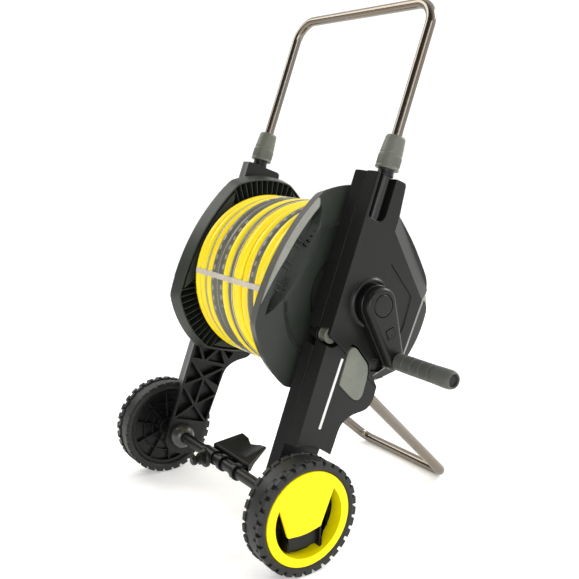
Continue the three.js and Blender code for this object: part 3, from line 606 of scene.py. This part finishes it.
def hose_band():
    """A thin clear strap laid over the outer turns and tucked down beside the end ones."""
    reach = HOSE_DIAMETER / MM / 2
    line = []
    for x in [v * 1.5 - 105 for v in range(147)]:
        near = min(OUTER_TURNS, key=lambda turn: abs(turn - x))
        crest = OUTER_RADIUS + math.sqrt(max(reach ** 2 - (x - near) ** 2, 0.0))
        span = [a for a in zip(sorted(OUTER_TURNS), sorted(OUTER_TURNS)[1:]) if a[0] <= x <= a[1]]
        if span:
            a, b = span[0]
            t = (x - a) / (b - a)
            crest = max(crest, OUTER_RADIUS + reach - 0.09 * (b - a) * 4 * t * (1 - t) * (b - a) / 17)
        line.append((x, crest))
    rings = []
    for x, height in line:
        rings.append([
            (x, (height + h) * math.cos(math.pi + s / 140), (height + h) * math.sin(math.pi + s / 140))
            for s, h in ((-4.5, 0.25), (-1.5, 0.25), (1.5, 0.25), (4.5, 0.25), (4.5, 0.65), (1.5, 0.65),
                         (-1.5, 0.65), (-4.5, 0.65))
        ])
    return loft(rings)


BAND_TURN = Matrix.Rotation(math.radians(11.5), 4, "X")
band_material = BAND[0]
band_material.node_tree.nodes["Principled BSDF"].inputs["Alpha"].default_value = 0.62
piece("strap", hose_band(), DRUM @ BAND_TURN, BAND, "drum", ["hose_band"], smooth=60)


# ---- Drum ----

FLANGE_IN, FLANGE_OUT, FLANGE_RADIUS = 112, 138, 172
FLAT, FLAT_RADIUS = 148, 357.4
FLANGE_TURN = Matrix.Rotation(math.radians(-12.8), 4, "X")
THIRDS = [Matrix.Rotation(TAU * k / 3, 4, "X") for k in range(3)]
RIBS, TAPER, FLOOR = 90, 6.5, 125


def rim_radius(angle):
    """How far the rim is from the axis: a circle with three bowed flats."""
    centre, radius = FLAT_RADIUS - FLAT, FLANGE_RADIUS
    for k in range(3):
        turn = angle - math.pi - TAU * k / 3
        if math.cos(turn) > 0.5:
            reach = math.sqrt(FLAT_RADIUS ** 2 - (centre * math.sin(turn)) ** 2) - centre * math.cos(turn)
            radius = min(radius, reach)
    return radius


def lens(inset, far=102, steps=20):
    """A hand-hold: an arc beside the bowed flat, and a nearly straight side towards the hub."""
    half, arc = 91 - 2 * inset, FLAT_RADIUS - 13 - inset

    def outer(z):
        return FLAT_RADIUS - FLAT - math.sqrt(arc * arc - z * z)

    tip = outer(half)
    line = []
    for i in range(steps + 1):
        t = -1 + 2 * i / steps
        line.append((tip + (-far - inset - tip) * (1 - abs(t) ** 3.2), half * t))
    return line + [(outer(half * (1 - i / 6)), half * (1 - i / 6)) for i in range(1, 12)]


def sloped(low, high, x0, x1):
    """A prism between two outlines that have the same number of points."""
    return loft([[(x0, v, u) for v, u in low], [(x1, v, u) for v, u in high]])


def all_round(shape):
    return together(*[moved(shape, turn) for turn in THIRDS])


def flange():
    """A stepped wall with a rim and a tub for each hand-hold, its rim drawn in at the flats."""
    x0, x1 = FLANGE_IN, FLANGE_OUT
    wall = lathe(rounded([
        (15.3, x1 + 4), (30, x1 + 4, 2), (30, x1 - 2, 1), (48, x1 - 2, 2), (50.5, x1 - 8, 2),
        (66, x1 - 8, 2), (69, x1 - 5, 2), (114, x1 - 5, 4), (119, x1, 4), (FLANGE_RADIUS, x1, 3),
        (FLANGE_RADIUS, x0, 1.2), (FLANGE_RADIUS - 2.6, x0, 1), (FLANGE_RADIUS - 2.6, x1 - 3, 2),
        (121, x1 - 3, 4), (112, x1 - 8, 4), (15.3, x1 - 11),
    ], 0.6, 4), 180)
    points = []
    for x, v, u in wall[0]:
        radius = math.hypot(v, u)
        if radius > 130:
            rim = rim_radius(math.atan2(u, v)) - FLANGE_RADIUS - TAPER * (x1 - x) / (x1 - x0)
            scale = 1 + rim * min(1, (radius - 130) / 20) / radius
            v, u = v * scale, u * scale
        points.append((x, v, u))
    tub = all_round(sloped(lens(-1.4, 110), lens(-3.2, 98), x0 + 0.4, x1 - 1))
    room = all_round(loft([
        [(x, v, u) for v, u in lens(inset, far)]
        for x, inset, far in ((FLOOR, 1.4, 115), (x1 - 0.9, 0.3, 103), (x1 + 0.6, -1.2, 102))
    ]))
    solid = combined((points, wall[1]), tub, operation="UNION")
    return combined(solid, room)


def flange_ribs():
    """Thin radial ribs behind the wall, between its step and the rim, stopped at the tubs."""
    ribs = []
    for i in range(RIBS):
        angle = TAU * (i + 0.5) / RIBS
        end, low = rim_radius(angle) - 1.5, 108.5
        turn = (angle - math.pi + TAU / 6) % (TAU / 3) - TAU / 6
        r = low
        while r < end:
            forward, side = r * math.cos(turn), r * math.sin(turn)
            if abs(side) < 93:
                edge = 110 + 13 * abs(side / 93) ** 3.2
                if forward > edge:
                    end = r
                    break
            r += 0.5
        if end - low < 5:
            continue
        back, face = FLANGE_IN + 0.3, FLANGE_OUT - 2.2
        line = [
            (back, low), (back, end - TAPER), (face, end), (face, 122),
            (FLANGE_OUT - 7.5, 112), (FLANGE_OUT - 7.5, low),
        ]
        points = [(x, -0.7, r) for x, r in line] + [(x, 0.7, r) for x, r in line]
        count = len(line)
        faces = [tuple(range(count)), tuple(range(count, 2 * count))]
        faces += [(k, (k + 1) % count, count + (k + 1) % count, count + k) for k in range(count)]
        ribs.append(moved((points, faces), Matrix.Rotation(angle - math.pi / 2, 4, "X")))
    return together(*ribs)


def grip_bars():
    """Three pairs of small bars across each hand-hold, on both faces of its floor."""
    bars = []
    for z in (-45, -9, 27):
        for step in (-4.5, 4.5):
            bars.append(block(FLOOR - 0.5, FLOOR + 4, -132, -114, z + step - 1.5, z + step + 1.5))
            bars.append(block(FLANGE_IN - 0.3, FLANGE_IN + 1.2, -132, -112, z + step - 1.5, z + step + 1.5))
    return all_round(together(*bars))


def grip_highlight_facet():
    """The sloped facet between the rim and a hand-hold, widest in its middle, coloured pale grey as a painted
    highlight.
    """
    steps, inner, outer = 30, [], []
    for i in range(steps + 1):
        z = -80 + 178 * i / steps
        near = FLAT_RADIUS - FLAT - math.sqrt((FLAT_RADIUS - 0.4) ** 2 - z * z)
        width = 11.5 * min(1, (z + 82) / 80) ** 0.8 * min(1, (101 - z) / 12)
        outer.append((near, z))
        inner.append((near + max(0.4, width), z))
    low = outer + inner[::-1]
    high = [(v + (0.5 if k <= steps else -0.3), u) for k, (v, u) in enumerate(low)]
    return all_round(sloped(low, high, FLANGE_OUT - 1.5, FLANGE_OUT + 0.7))


wall_shape, ribs_shape, bars_shape, highlight_facet_shape = flange(), flange_ribs(), grip_bars(), grip_highlight_facet()
for side, hand in SIDES:
    at = DRUM @ FLANGE_TURN @ hand
    piece("flange_wall_" + side, wall_shape, at, FLANGE, "drum", ["flange_" + side], smooth=38)
    piece("flange_ribs_" + side, ribs_shape, at, FLANGE, "drum", bevel=0.25, segments=1)
    piece("flange_bars_" + side, bars_shape, at, FLANGE, "drum", bevel=0.6)
    # The pale facet on each flange is a painted highlight on the chamfer beside the hand-hold.
    piece("flange_highlight_facet_" + side, highlight_facet_shape, at, HIGHLIGHT_GREY, "drum", bevel=0.4)

core = lathe(rounded([(103.5, -111.7), (106.5, -111.7), (106.5, 111.7), (103.5, 111.7)], 0.5), 120)
piece("core_sleeve", core, DRUM, RIB, "drum", ["drum_core"])
shaft = lathe(rounded([(0, -190.3, 0), (15, -190.3), (15, 191.3), (0, 191.3, 0)], 1.2), 64)
piece("shaft", shaft, DRUM, RIB, "drum", ["drum_shaft"])


# ---- Crank ----

def arm_ring(hub, end, length, x, steps=36):
    """The outline round a hub and a smaller end, so far along X."""
    slant = math.asin((hub - end) / length)
    ring = []
    for i in range(steps + 1):
        angle = math.pi / 2 - slant + (math.pi + 2 * slant) * i / steps
        ring.append((x, hub * math.cos(angle), hub * math.sin(angle)))
    for i in range(steps // 2 + 1):
        angle = -math.pi / 2 + slant + (math.pi - 2 * slant) * i / (steps // 2)
        ring.append((x, length + end * math.cos(angle), end * math.sin(angle)))
    return ring


CRANK_LENGTH, ARM_BACK, ARM_FACE = 94, 205.3, 220


def crank_arm():
    rings = [arm_ring(27.0, 15.0, CRANK_LENGTH, ARM_BACK), arm_ring(27.5, 15.5, CRANK_LENGTH, ARM_BACK + 0.6)]
    fillet = 7.5
    for k in range(9):
        turn = math.pi / 2 * k / 8
        inset = fillet * (1 - math.cos(turn))
        x = ARM_FACE - fillet + fillet * math.sin(turn)
        rings.append(arm_ring(27.5 - inset, 15.5 - inset, CRANK_LENGTH, x))
    solid = loft(rings)
    low, high = ARM_FACE - 4, ARM_FACE + 2
    cap_room = lathe([(0, low), (17.6, low), (17.6, high), (0, high)], 64)
    catch_room = block(low, high, 38.2, 53.8, -7.8, 7.8)
    bore = lathe([(0, 200), (6, 200), (6, 225), (0, 225)], 40)
    bore = moved(bore, Matrix.Translation((0, CRANK_LENGTH, 0)))
    return combined(solid, cap_room, catch_room, bore)


def crank_base():
    hub = lathe(rounded([(0, 191.6, 0), (29, 191.6), (29, 196), (0, 196, 0)], 0.8), 96)
    plate = loft([arm_ring(29 - d, 16 - d, CRANK_LENGTH, x) for d, x in (
        (0.6, 194.6), (0, 195.2), (0, 204.2), (0.8, 205.0))])
    return together(hub, plate)


cap = lathe(rounded([
    (0, ARM_FACE - 3.7, 0), (16.6, ARM_FACE - 3.7), (16.6, ARM_FACE - 0.2, 0.8),
    (15, ARM_FACE + 0.5, 1), (0, ARM_FACE + 0.6, 0),
], 0.5), 96)
piece("crank_foot", crank_base(), CRANK, RIB, "drum", ["crank_base"], smooth=35)
piece("crank_lever", crank_arm(), CRANK, COVER, "drum", ["crank_arm"], bevel=0.5, smooth=30, above=40)
piece("crank_badge", cap, CRANK, COVER, "drum", ["crank_cap"])
catch = together(
    slab(rounded([(39, -7), (53, -7), (53, 7), (39, 7)], 1.5), ARM_FACE - 3.7, ARM_FACE + 0.6),
    slab(rounded([(48.5, -5), (51.5, -5), (51.5, 5), (48.5, 5)], 1), ARM_FACE, ARM_FACE + 1),
)
piece("crank_snap", catch, CRANK, RIB, "drum", ["crank_catch"], bevel=0.4)
spindle = lathe(rounded([(0, 205.6, 0), (5.5, 205.6), (5.5, 325), (0, 325, 0)], 0.8), 40)
AT_GRIP = CRANK @ Matrix.Translation((0, CRANK_LENGTH, 0))
piece("crank_spindle", spindle, AT_GRIP, DARK_STEEL, "drum", ["grip_spindle"])


def grip_sleeve():
    """A soft sleeve with five broad finger bands, a rolled end and an open socket in it."""
    start, end, radius = 221, 337, 13.7
    outer = [(6, start, 0), (radius - 2.2, start, 1), (radius - 0.5, start + 1.5, 1)]
    for x in (242, 260, 278, 296):
        groove = radius - 0.9
        outer += [(radius, x - 1.4, 0.8), (groove, x - 0.1, 0.5)]
        outer += [(groove, x + 0.9, 0.5), (radius, x + 2.2, 0.8)]
    outer += [
        (radius + 0.5, end - 15, 4), (radius + 0.4, end - 6, 4), (radius - 2, end - 0.6, 2), (10.4, end, 1),
        (9.4, end - 1, 0.6), (9.4, end - 5, 0.4), (6, end - 5, 0),
    ]
    return lathe(rounded(outer, 0.5, 4), 80)


piece("grip_soft", grip_sleeve(), AT_GRIP, GRIP, "grip", ["grip_sleeve"], smooth=50)
plug = lathe(rounded([
    (0, 332.3, 0), (9, 332.3), (9, 334.6, 0.8), (7.2, 334.6, 0.4), (6.6, 333.4, 0.4), (0, 333.4, 0),
], 0.3), 64)
piece("grip_end_plug", plug, AT_GRIP, RIB, "grip", ["grip_plug"])


# ---- Wheels ----

TYRE_INNER, TREAD, TYRE_RADIUS, HALF = 71, 82.2, 85, 22.25
LUGS = 30


def lug(x0, x1, angle, width, skew, base=TREAD - 1, inset=0.7):
    """One tread block: a skewed patch of the tyre's surface, with chamfered edges."""
    def ring(shrink, radius):
        low, high = x0 + shrink, x1 - shrink
        corners = [(low, -1), (high, -1), (high, 0), (high, 1), (low, 1), (low, 0)]
        out = []
        for x, s in corners:
            t = angle + (s * (width - shrink) + skew * (x - x0)) / TYRE_RADIUS
            out.append((x, radius * math.cos(t), radius * math.sin(t)))
        return out
    return loft([ring(0, base), ring(0, TYRE_RADIUS - inset), ring(inset, TYRE_RADIUS)])


def tyre():
    carcass = lathe(rounded([
        (TYRE_INNER, -HALF + 4, 1), (73.5, -HALF + 0.6, 2), (77, -HALF, 2), (TREAD - 2.5, -HALF + 0.8, 2),
        (TREAD, -HALF + 4, 3), (TREAD + 0.9, -8, 4), (TREAD + 0.6, 5, 3), (TREAD - 0.4, 7, 1),
        (TREAD - 1.4, HALF - 3, 3), (TREAD - 4.5, HALF - 0.6, 2), (77, HALF, 1.5),
        (73.5, HALF - 0.6, 2), (TYRE_INNER, HALF - 2.6, 1),
    ], 1, 4), 144)
    lugs = []
    for i in range(LUGS):
        angle = TAU * i / LUGS
        lugs.append(lug(6.5, 14.2, angle, 6.6, 0.10))
        outer, inner = angle + 0.5 * TAU / LUGS, angle + 0.25 * TAU / LUGS
        lugs.append(lug(13.4, HALF - 0.7, outer, 6.0, -0.05, base=TREAD - 6, inset=1.1))
        lugs.append(lug(-HALF + 0.8, -HALF + 7.5, inner, 6.2, 0.05, base=TREAD - 5, inset=1.0))
    return together(carcass, *lugs)


def wheel_rim():
    """A hoop with spokes and rings inside, and raised boards behind the cover's window."""
    outer, bore, back, front = TYRE_INNER - 0.3, 9.8, -9, -4
    hoop = lathe(rounded([
        (bore, -19), (17, -19, 1), (17, back, 1), (63, back, 1), (64.5, -17, 1), (outer, -17),
        (outer, 16.5), (63, 16.5), (63, front, 1), (17, front, 1), (16, 12), (bore, 12),
    ], 0.5), 112)
    parts = [hoop]
    for i in range(10):
        spoke = slab(rounded([(-1.4, 16), (1.4, 16), (1.4, 64.5), (-1.4, 64.5)], 0.2), -16, back + 0.5)
        parts.append(moved(spoke, Matrix.Rotation(TAU * i / 10, 4, "X")))
    for radius in (30, 46):
        low, high = radius - 1, radius + 1
        parts.append(lathe([(low, back + 0.5), (low, -14), (high, -14), (high, back + 0.5)], 96))
    boards = [
        [(-43, 17), (-40, 17), (-29, -16), (-29, -45), (-33, -43), (-33, -16)],
        [(40, 25), (43, 25), (27, -12), (27, -49), (23, -51), (23, -12)],
    ]
    parts += [slab(rounded(board, 0.5), front - 1, 15.5) for board in boards]
    panel = [(-31, -17), (25, -13), (25, -36), (20, -47), (-31, -47)]
    parts.append(slab(rounded(panel, 0.6), front - 1, 9))
    lower = [(-29, -42), (23, -38), (22, -49), (8, -54), (-10, -54), (-28, -47)]
    parts.append(slab(rounded(lower, 0.6), front - 1, 3))
    return together(*parts)


def wheel_cover():
    """A disc with a U-shaped window round a shield, on a ring that reaches into the rim."""
    plate = lathe(rounded([
        (0, HALF - 5, 0), (70.7, HALF - 5), (70.7, HALF - 1.4, 1),
        (68.8, HALF - 0.1, 1.2), (0, HALF - 0.1, 0),
    ], 0.6), 160)
    ring = lathe(rounded([(57, -1.7), (60, -1.7), (60, HALF - 4), (57, HALF - 4)], 0.4), 160)
    shield = slab(rounded([
        (-51, 33, 0), (-36, -18, 2), (-8, -20.5, 18), (20, -14.5, 2), (45, 41, 0), (0, 75, 0),
    ], 1, 8), HALF - 20, HALF + 1)
    window = combined(lathe([(0, HALF - 9), (57, HALF - 9), (57, HALF + 1), (0, HALF + 1)], 160), shield)
    solid = combined(plate, ring, operation="UNION")
    return combined(solid, window)


tyre_shape, rim_shape, cover_shape = tyre(), wheel_rim(), wheel_cover()
for side, hand in SIDES:
    at = CART @ hand @ Matrix.Translation((WHEEL_X, 0, AXLE_HEIGHT))
    body = "wheel_" + side
    piece("tread_" + side, tyre_shape, at, TYRE, body, ["tyre_" + side], smooth=32)
    piece("rim_" + side, rim_shape, at, RIB, body, ["wheel_rim_" + side], bevel=0.35, segments=1, smooth=35)
    piece("disc_" + side, cover_shape, at, YELLOW, body, ["wheel_cover_" + side],
          bevel=0.5, smooth=35, above=35)


# ---- Frame halves, with rounded edges ----

FOLD = Matrix.Translation((0, -10, 256))
KNUCKLE_IN, KNUCKLE_OUT = 168.3, 184


def knuckle():
    """The fold's barrel, with a raised lip round each end and two slots in its front."""
    x0, x1 = KNUCKLE_IN, KNUCKLE_OUT
    barrel = lathe(rounded([(4.3, x0), (11.6, x0), (11.6, x1), (4.3, x1)], 0.6), 72)
    lips = [
        lathe(rounded([(11, low), (12.1, low), (12.1, high), (11, high)], 0.4), 72)
        for low, high in ((x0, x0 + 2.3), (x1 - 2.4, x1))
    ]
    slots = [block(x, x + 2.4, -20, -9.4, -7, 6) for x in (172.6, 177.4)]
    solid = combined(barrel, *lips, operation="UNION")
    return combined(solid, *slots)


knuckle_shape = knuckle()
for side, hand in SIDES:
    dressed("upper_cover_" + side, COVER, 0.9)
    dressed("lower_cover_" + side, COVER, 0.9)
    dressed("upper_rib_" + side, RIB, 0.5)
    dressed("lower_rib_" + side, RIB, 0.5)
    piece("knuckle_" + side, knuckle_shape, LEANED @ hand @ FOLD, GREY, "lower_frame",
          ["fold_knuckle_" + side], bevel=0.5, smooth=35)
    dressed("latch_button_" + side, BUTTON, 1.2, 3)

# A thin pale strip on the lower frame's outer face along its rear edge: a painted highlight of the lit
# chamfer there.
bar = slab(rounded([(12.4, 119), (17.0, 119), (20.6, 228), (16.0, 228)], 1.2), 189.6, 190.25)
piece("rear_edge_highlight", bar, LEANED, PALE, "lower_frame", bevel=0.2)


# ---- Tubes, clamps, bushes, pins and the axle ----

TUBE_X, TUBE_V = 174, 8.5
for side, hand in SIDES:
    at = LEANED @ hand @ Matrix.Translation((TUBE_X, TUBE_V, 0)) @ UPRIGHT
    guide = lathe(rounded([(8.3, 271), (9.75, 271), (9.75, 530), (8.3, 530)], 0.3), 64)
    piece("slide_tube_" + side, guide, at, GLOSSY, "upper_frame", ["guide_tube_" + side])
    neck = lathe(rounded([
        (10.05, 505.3), (13, 505.3), (13, 508.4, 0.4), (12.2, 509.2, 0.4),
        (12.2, 513, 0.4), (12.8, 515, 0.4), (10.05, 515),
    ], 0.4), 64)
    piece("tube_neck_" + side, neck, at, RIB, "upper_frame", ["guide_neck_" + side])
    collar = lathe(rounded([
        (10.05, 515.3, 0.3), (17.6, 515.3, 0.8), (18.3, 517.5, 1), (17.3, 519.4, 0.8),
        (17.7, 536, 2), (16.9, 538, 0.6), (17.3, 540, 0.6), (15.2, 563, 1.2),
        (13.6, 566.5, 1.6), (8.3, 566.5, 0.6), (8.3, 530.3, 0.3), (10.05, 530.3, 0.3),
    ], 0.6, 4), 96)
    flutes = [
        moved(slab(rounded([(-0.7, 17.0), (0.7, 17.0), (0.5, 18.0), (-0.5, 18.0)], 0.15), 521, 534.5),
              Matrix.Rotation(TAU * i / 30, 4, "X"))
        for i in range(30)
    ]
    piece("clamp_sleeve_" + side, together(collar, *flutes), at, GREY, "clamp_" + side,
          ["clamp_collar_" + side], smooth=35)
    bush = lathe(rounded([(15.3, 150), (19, 150), (19, 190), (15.3, 190)], 0.5), 64)
    piece("shaft_bush_" + side, bush, LEANED @ hand @ Matrix.Translation((0, DRUM_V, DRUM_U)), RIB,
          "upper_frame", ["drum_bush_" + side])
    pin = lathe(rounded([
        (0, 142.5, 0), (10, 142.5), (12, 144.5), (12, 149, 0.3), (15, 149.5), (15, 167.4),
        (4, 167.4), (4, KNUCKLE_OUT), (0, KNUCKLE_OUT, 0),
    ], 0.7), 56)
    piece("hinge_pin_" + side, pin, LEANED @ hand @ FOLD, RIB, "lower_frame", ["fold_pin_" + side])
    dome = lathe(rounded([
        (9.8, 149.7), (22.5, 149.7), (22.2, 145.5, 2), (20.6, 140, 3), (17.2, 135, 3),
        (13, 131.5, 1), (9.8, 131.5),
    ], 0.6, 5), 64)
    piece("axle_boss_" + side, dome, LEANED @ hand, BOSS, "lower_frame", ["axle_dome_" + side])

spine = lathe(rounded([(0, -236, 0), (9.5, -236), (9.5, 236), (0, 236, 0)], 1), 64)
piece("axle_rod", spine, LEANED, RIB, "lower_frame", ["axle_tube"])
line = bent([
    (TUBE_X, TUBE_V, 414), (TUBE_X, TUBE_V, 778), (-TUBE_X, TUBE_V, 778), (-TUBE_X, TUBE_V, 414),
], 38, 20)
piece("handle_tube", sweep(line, 8, 32), LEANED, CHROME, "handle", ["handle_bar"])

corner, rise, back_reach, slope, along = 110, 215, 234.3, 48, 1.2
top = Vector((corner + slope * along, 394 - back_reach * along, 9 + rise * along))
foot = Vector((corner, 394, 9))
flip = Vector((-1, 1, 1))
line = bent([top, foot, foot * flip, top * flip], 22, 14)
piece("stand_tube", sweep(line, 9, 32), CART, CHROME, "lower_frame", ["stand_bar"])

dressed("foot_plate", RIB, 0.5)
dressed("accessory_plug", RIB, 0.4)
dressed("inlet_elbow", RIB, 0.6)
dressed("inlet_nipple", GREY, 0.3)


# ---- Studio ----

world = bpy.data.worlds.new("studio")
scene.world = world
world.use_nodes = True
sky = world.node_tree
toward = sky.nodes.new("ShaderNodeTexCoord").outputs["Generated"]
facing = sky.nodes.new("ShaderNodeVectorMath")
facing.operation = "DOT_PRODUCT"
facing.inputs[1].default_value = (0.25, -0.96, -0.12)
sky.links.new(toward, facing.inputs[0])


def ranged(source, low, high, to_low, to_high):
    """Maps one of the sky's values to a strength."""
    node = sky.nodes.new("ShaderNodeMapRange")
    values = {"From Min": low, "From Max": high, "To Min": to_low, "To Max": to_high}
    for name, value in values.items():
        node.inputs[name].default_value = value
    sky.links.new(source, node.inputs["Value"])
    return node.outputs[0]


# The studio is dark on the side the cart's front edges mirror, and pale everywhere else.
shade = ranged(facing.outputs["Value"], -0.35, 0.3, 1.2, 0.12)
# A pale band just over the horizon, so that the floor runs into a pale wall all round.
split = sky.nodes.new("ShaderNodeSeparateXYZ")
sky.links.new(toward, split.inputs[0])
wall = ranged(split.outputs[2], 0.1, 0.2, 1.1, 0.0)
glow = sky.nodes.new("ShaderNodeMath")
glow.operation = "MAXIMUM"
sky.links.new(shade, glow.inputs[0])
sky.links.new(wall, glow.inputs[1])
sky.links.new(glow.outputs[0], sky.nodes["Background"].inputs["Strength"])
sky.nodes["Background"].inputs["Color"].default_value = (1, 0.995, 0.985, 1)
scene.view_settings.view_transform = "Standard"


def lamp(name, size, power, place, aim=(0, 0, 0.4), colour=(1, 1, 1)):
    light = bpy.data.lights.new(name, "AREA")
    light.shape, light.size, light.energy, light.color = "SQUARE", size, power, colour
    thing = bpy.data.objects.new(name, light)
    thing.location = place
    thing.rotation_mode = "QUATERNION"
    thing.rotation_quaternion = (Vector(place) - Vector(aim)).to_track_quat("Z", "Y")
    scene.collection.objects.link(thing)


lamp("key", 1.5, 30, (-1.9, -1.1, 2.3), colour=(1, 0.98, 0.95))
lamp("side", 1.2, 13, (2.4, -0.2, 1.6))
lamp("rim", 1.0, 34, (0.6, 2.3, 1.9))
lamp("fill", 1.6, 30, (2.3, -2.1, 1.0))

REACH = 40
corners = [(-REACH, -REACH, 0), (REACH, -REACH, 0), (REACH, REACH, 0), (-REACH, REACH, 0)]
floor = bpy.data.objects.new("floor", as_mesh((corners, [(0, 1, 2, 3)]), "floor"))
floor.location.z = -0.0005
scene.collection.objects.link(floor)
pale = bpy.data.materials.new("floor")
pale.use_nodes = True
paint = pale.node_tree.nodes["Principled BSDF"].inputs
paint["Base Color"].default_value = (0.96, 0.96, 0.96, 1)
paint["Roughness"].default_value = 0.7
paint["Emission Color"].default_value = (1, 1, 1, 1)
paint["Emission Strength"].default_value = 0.3
floor.data.materials.append(pale)
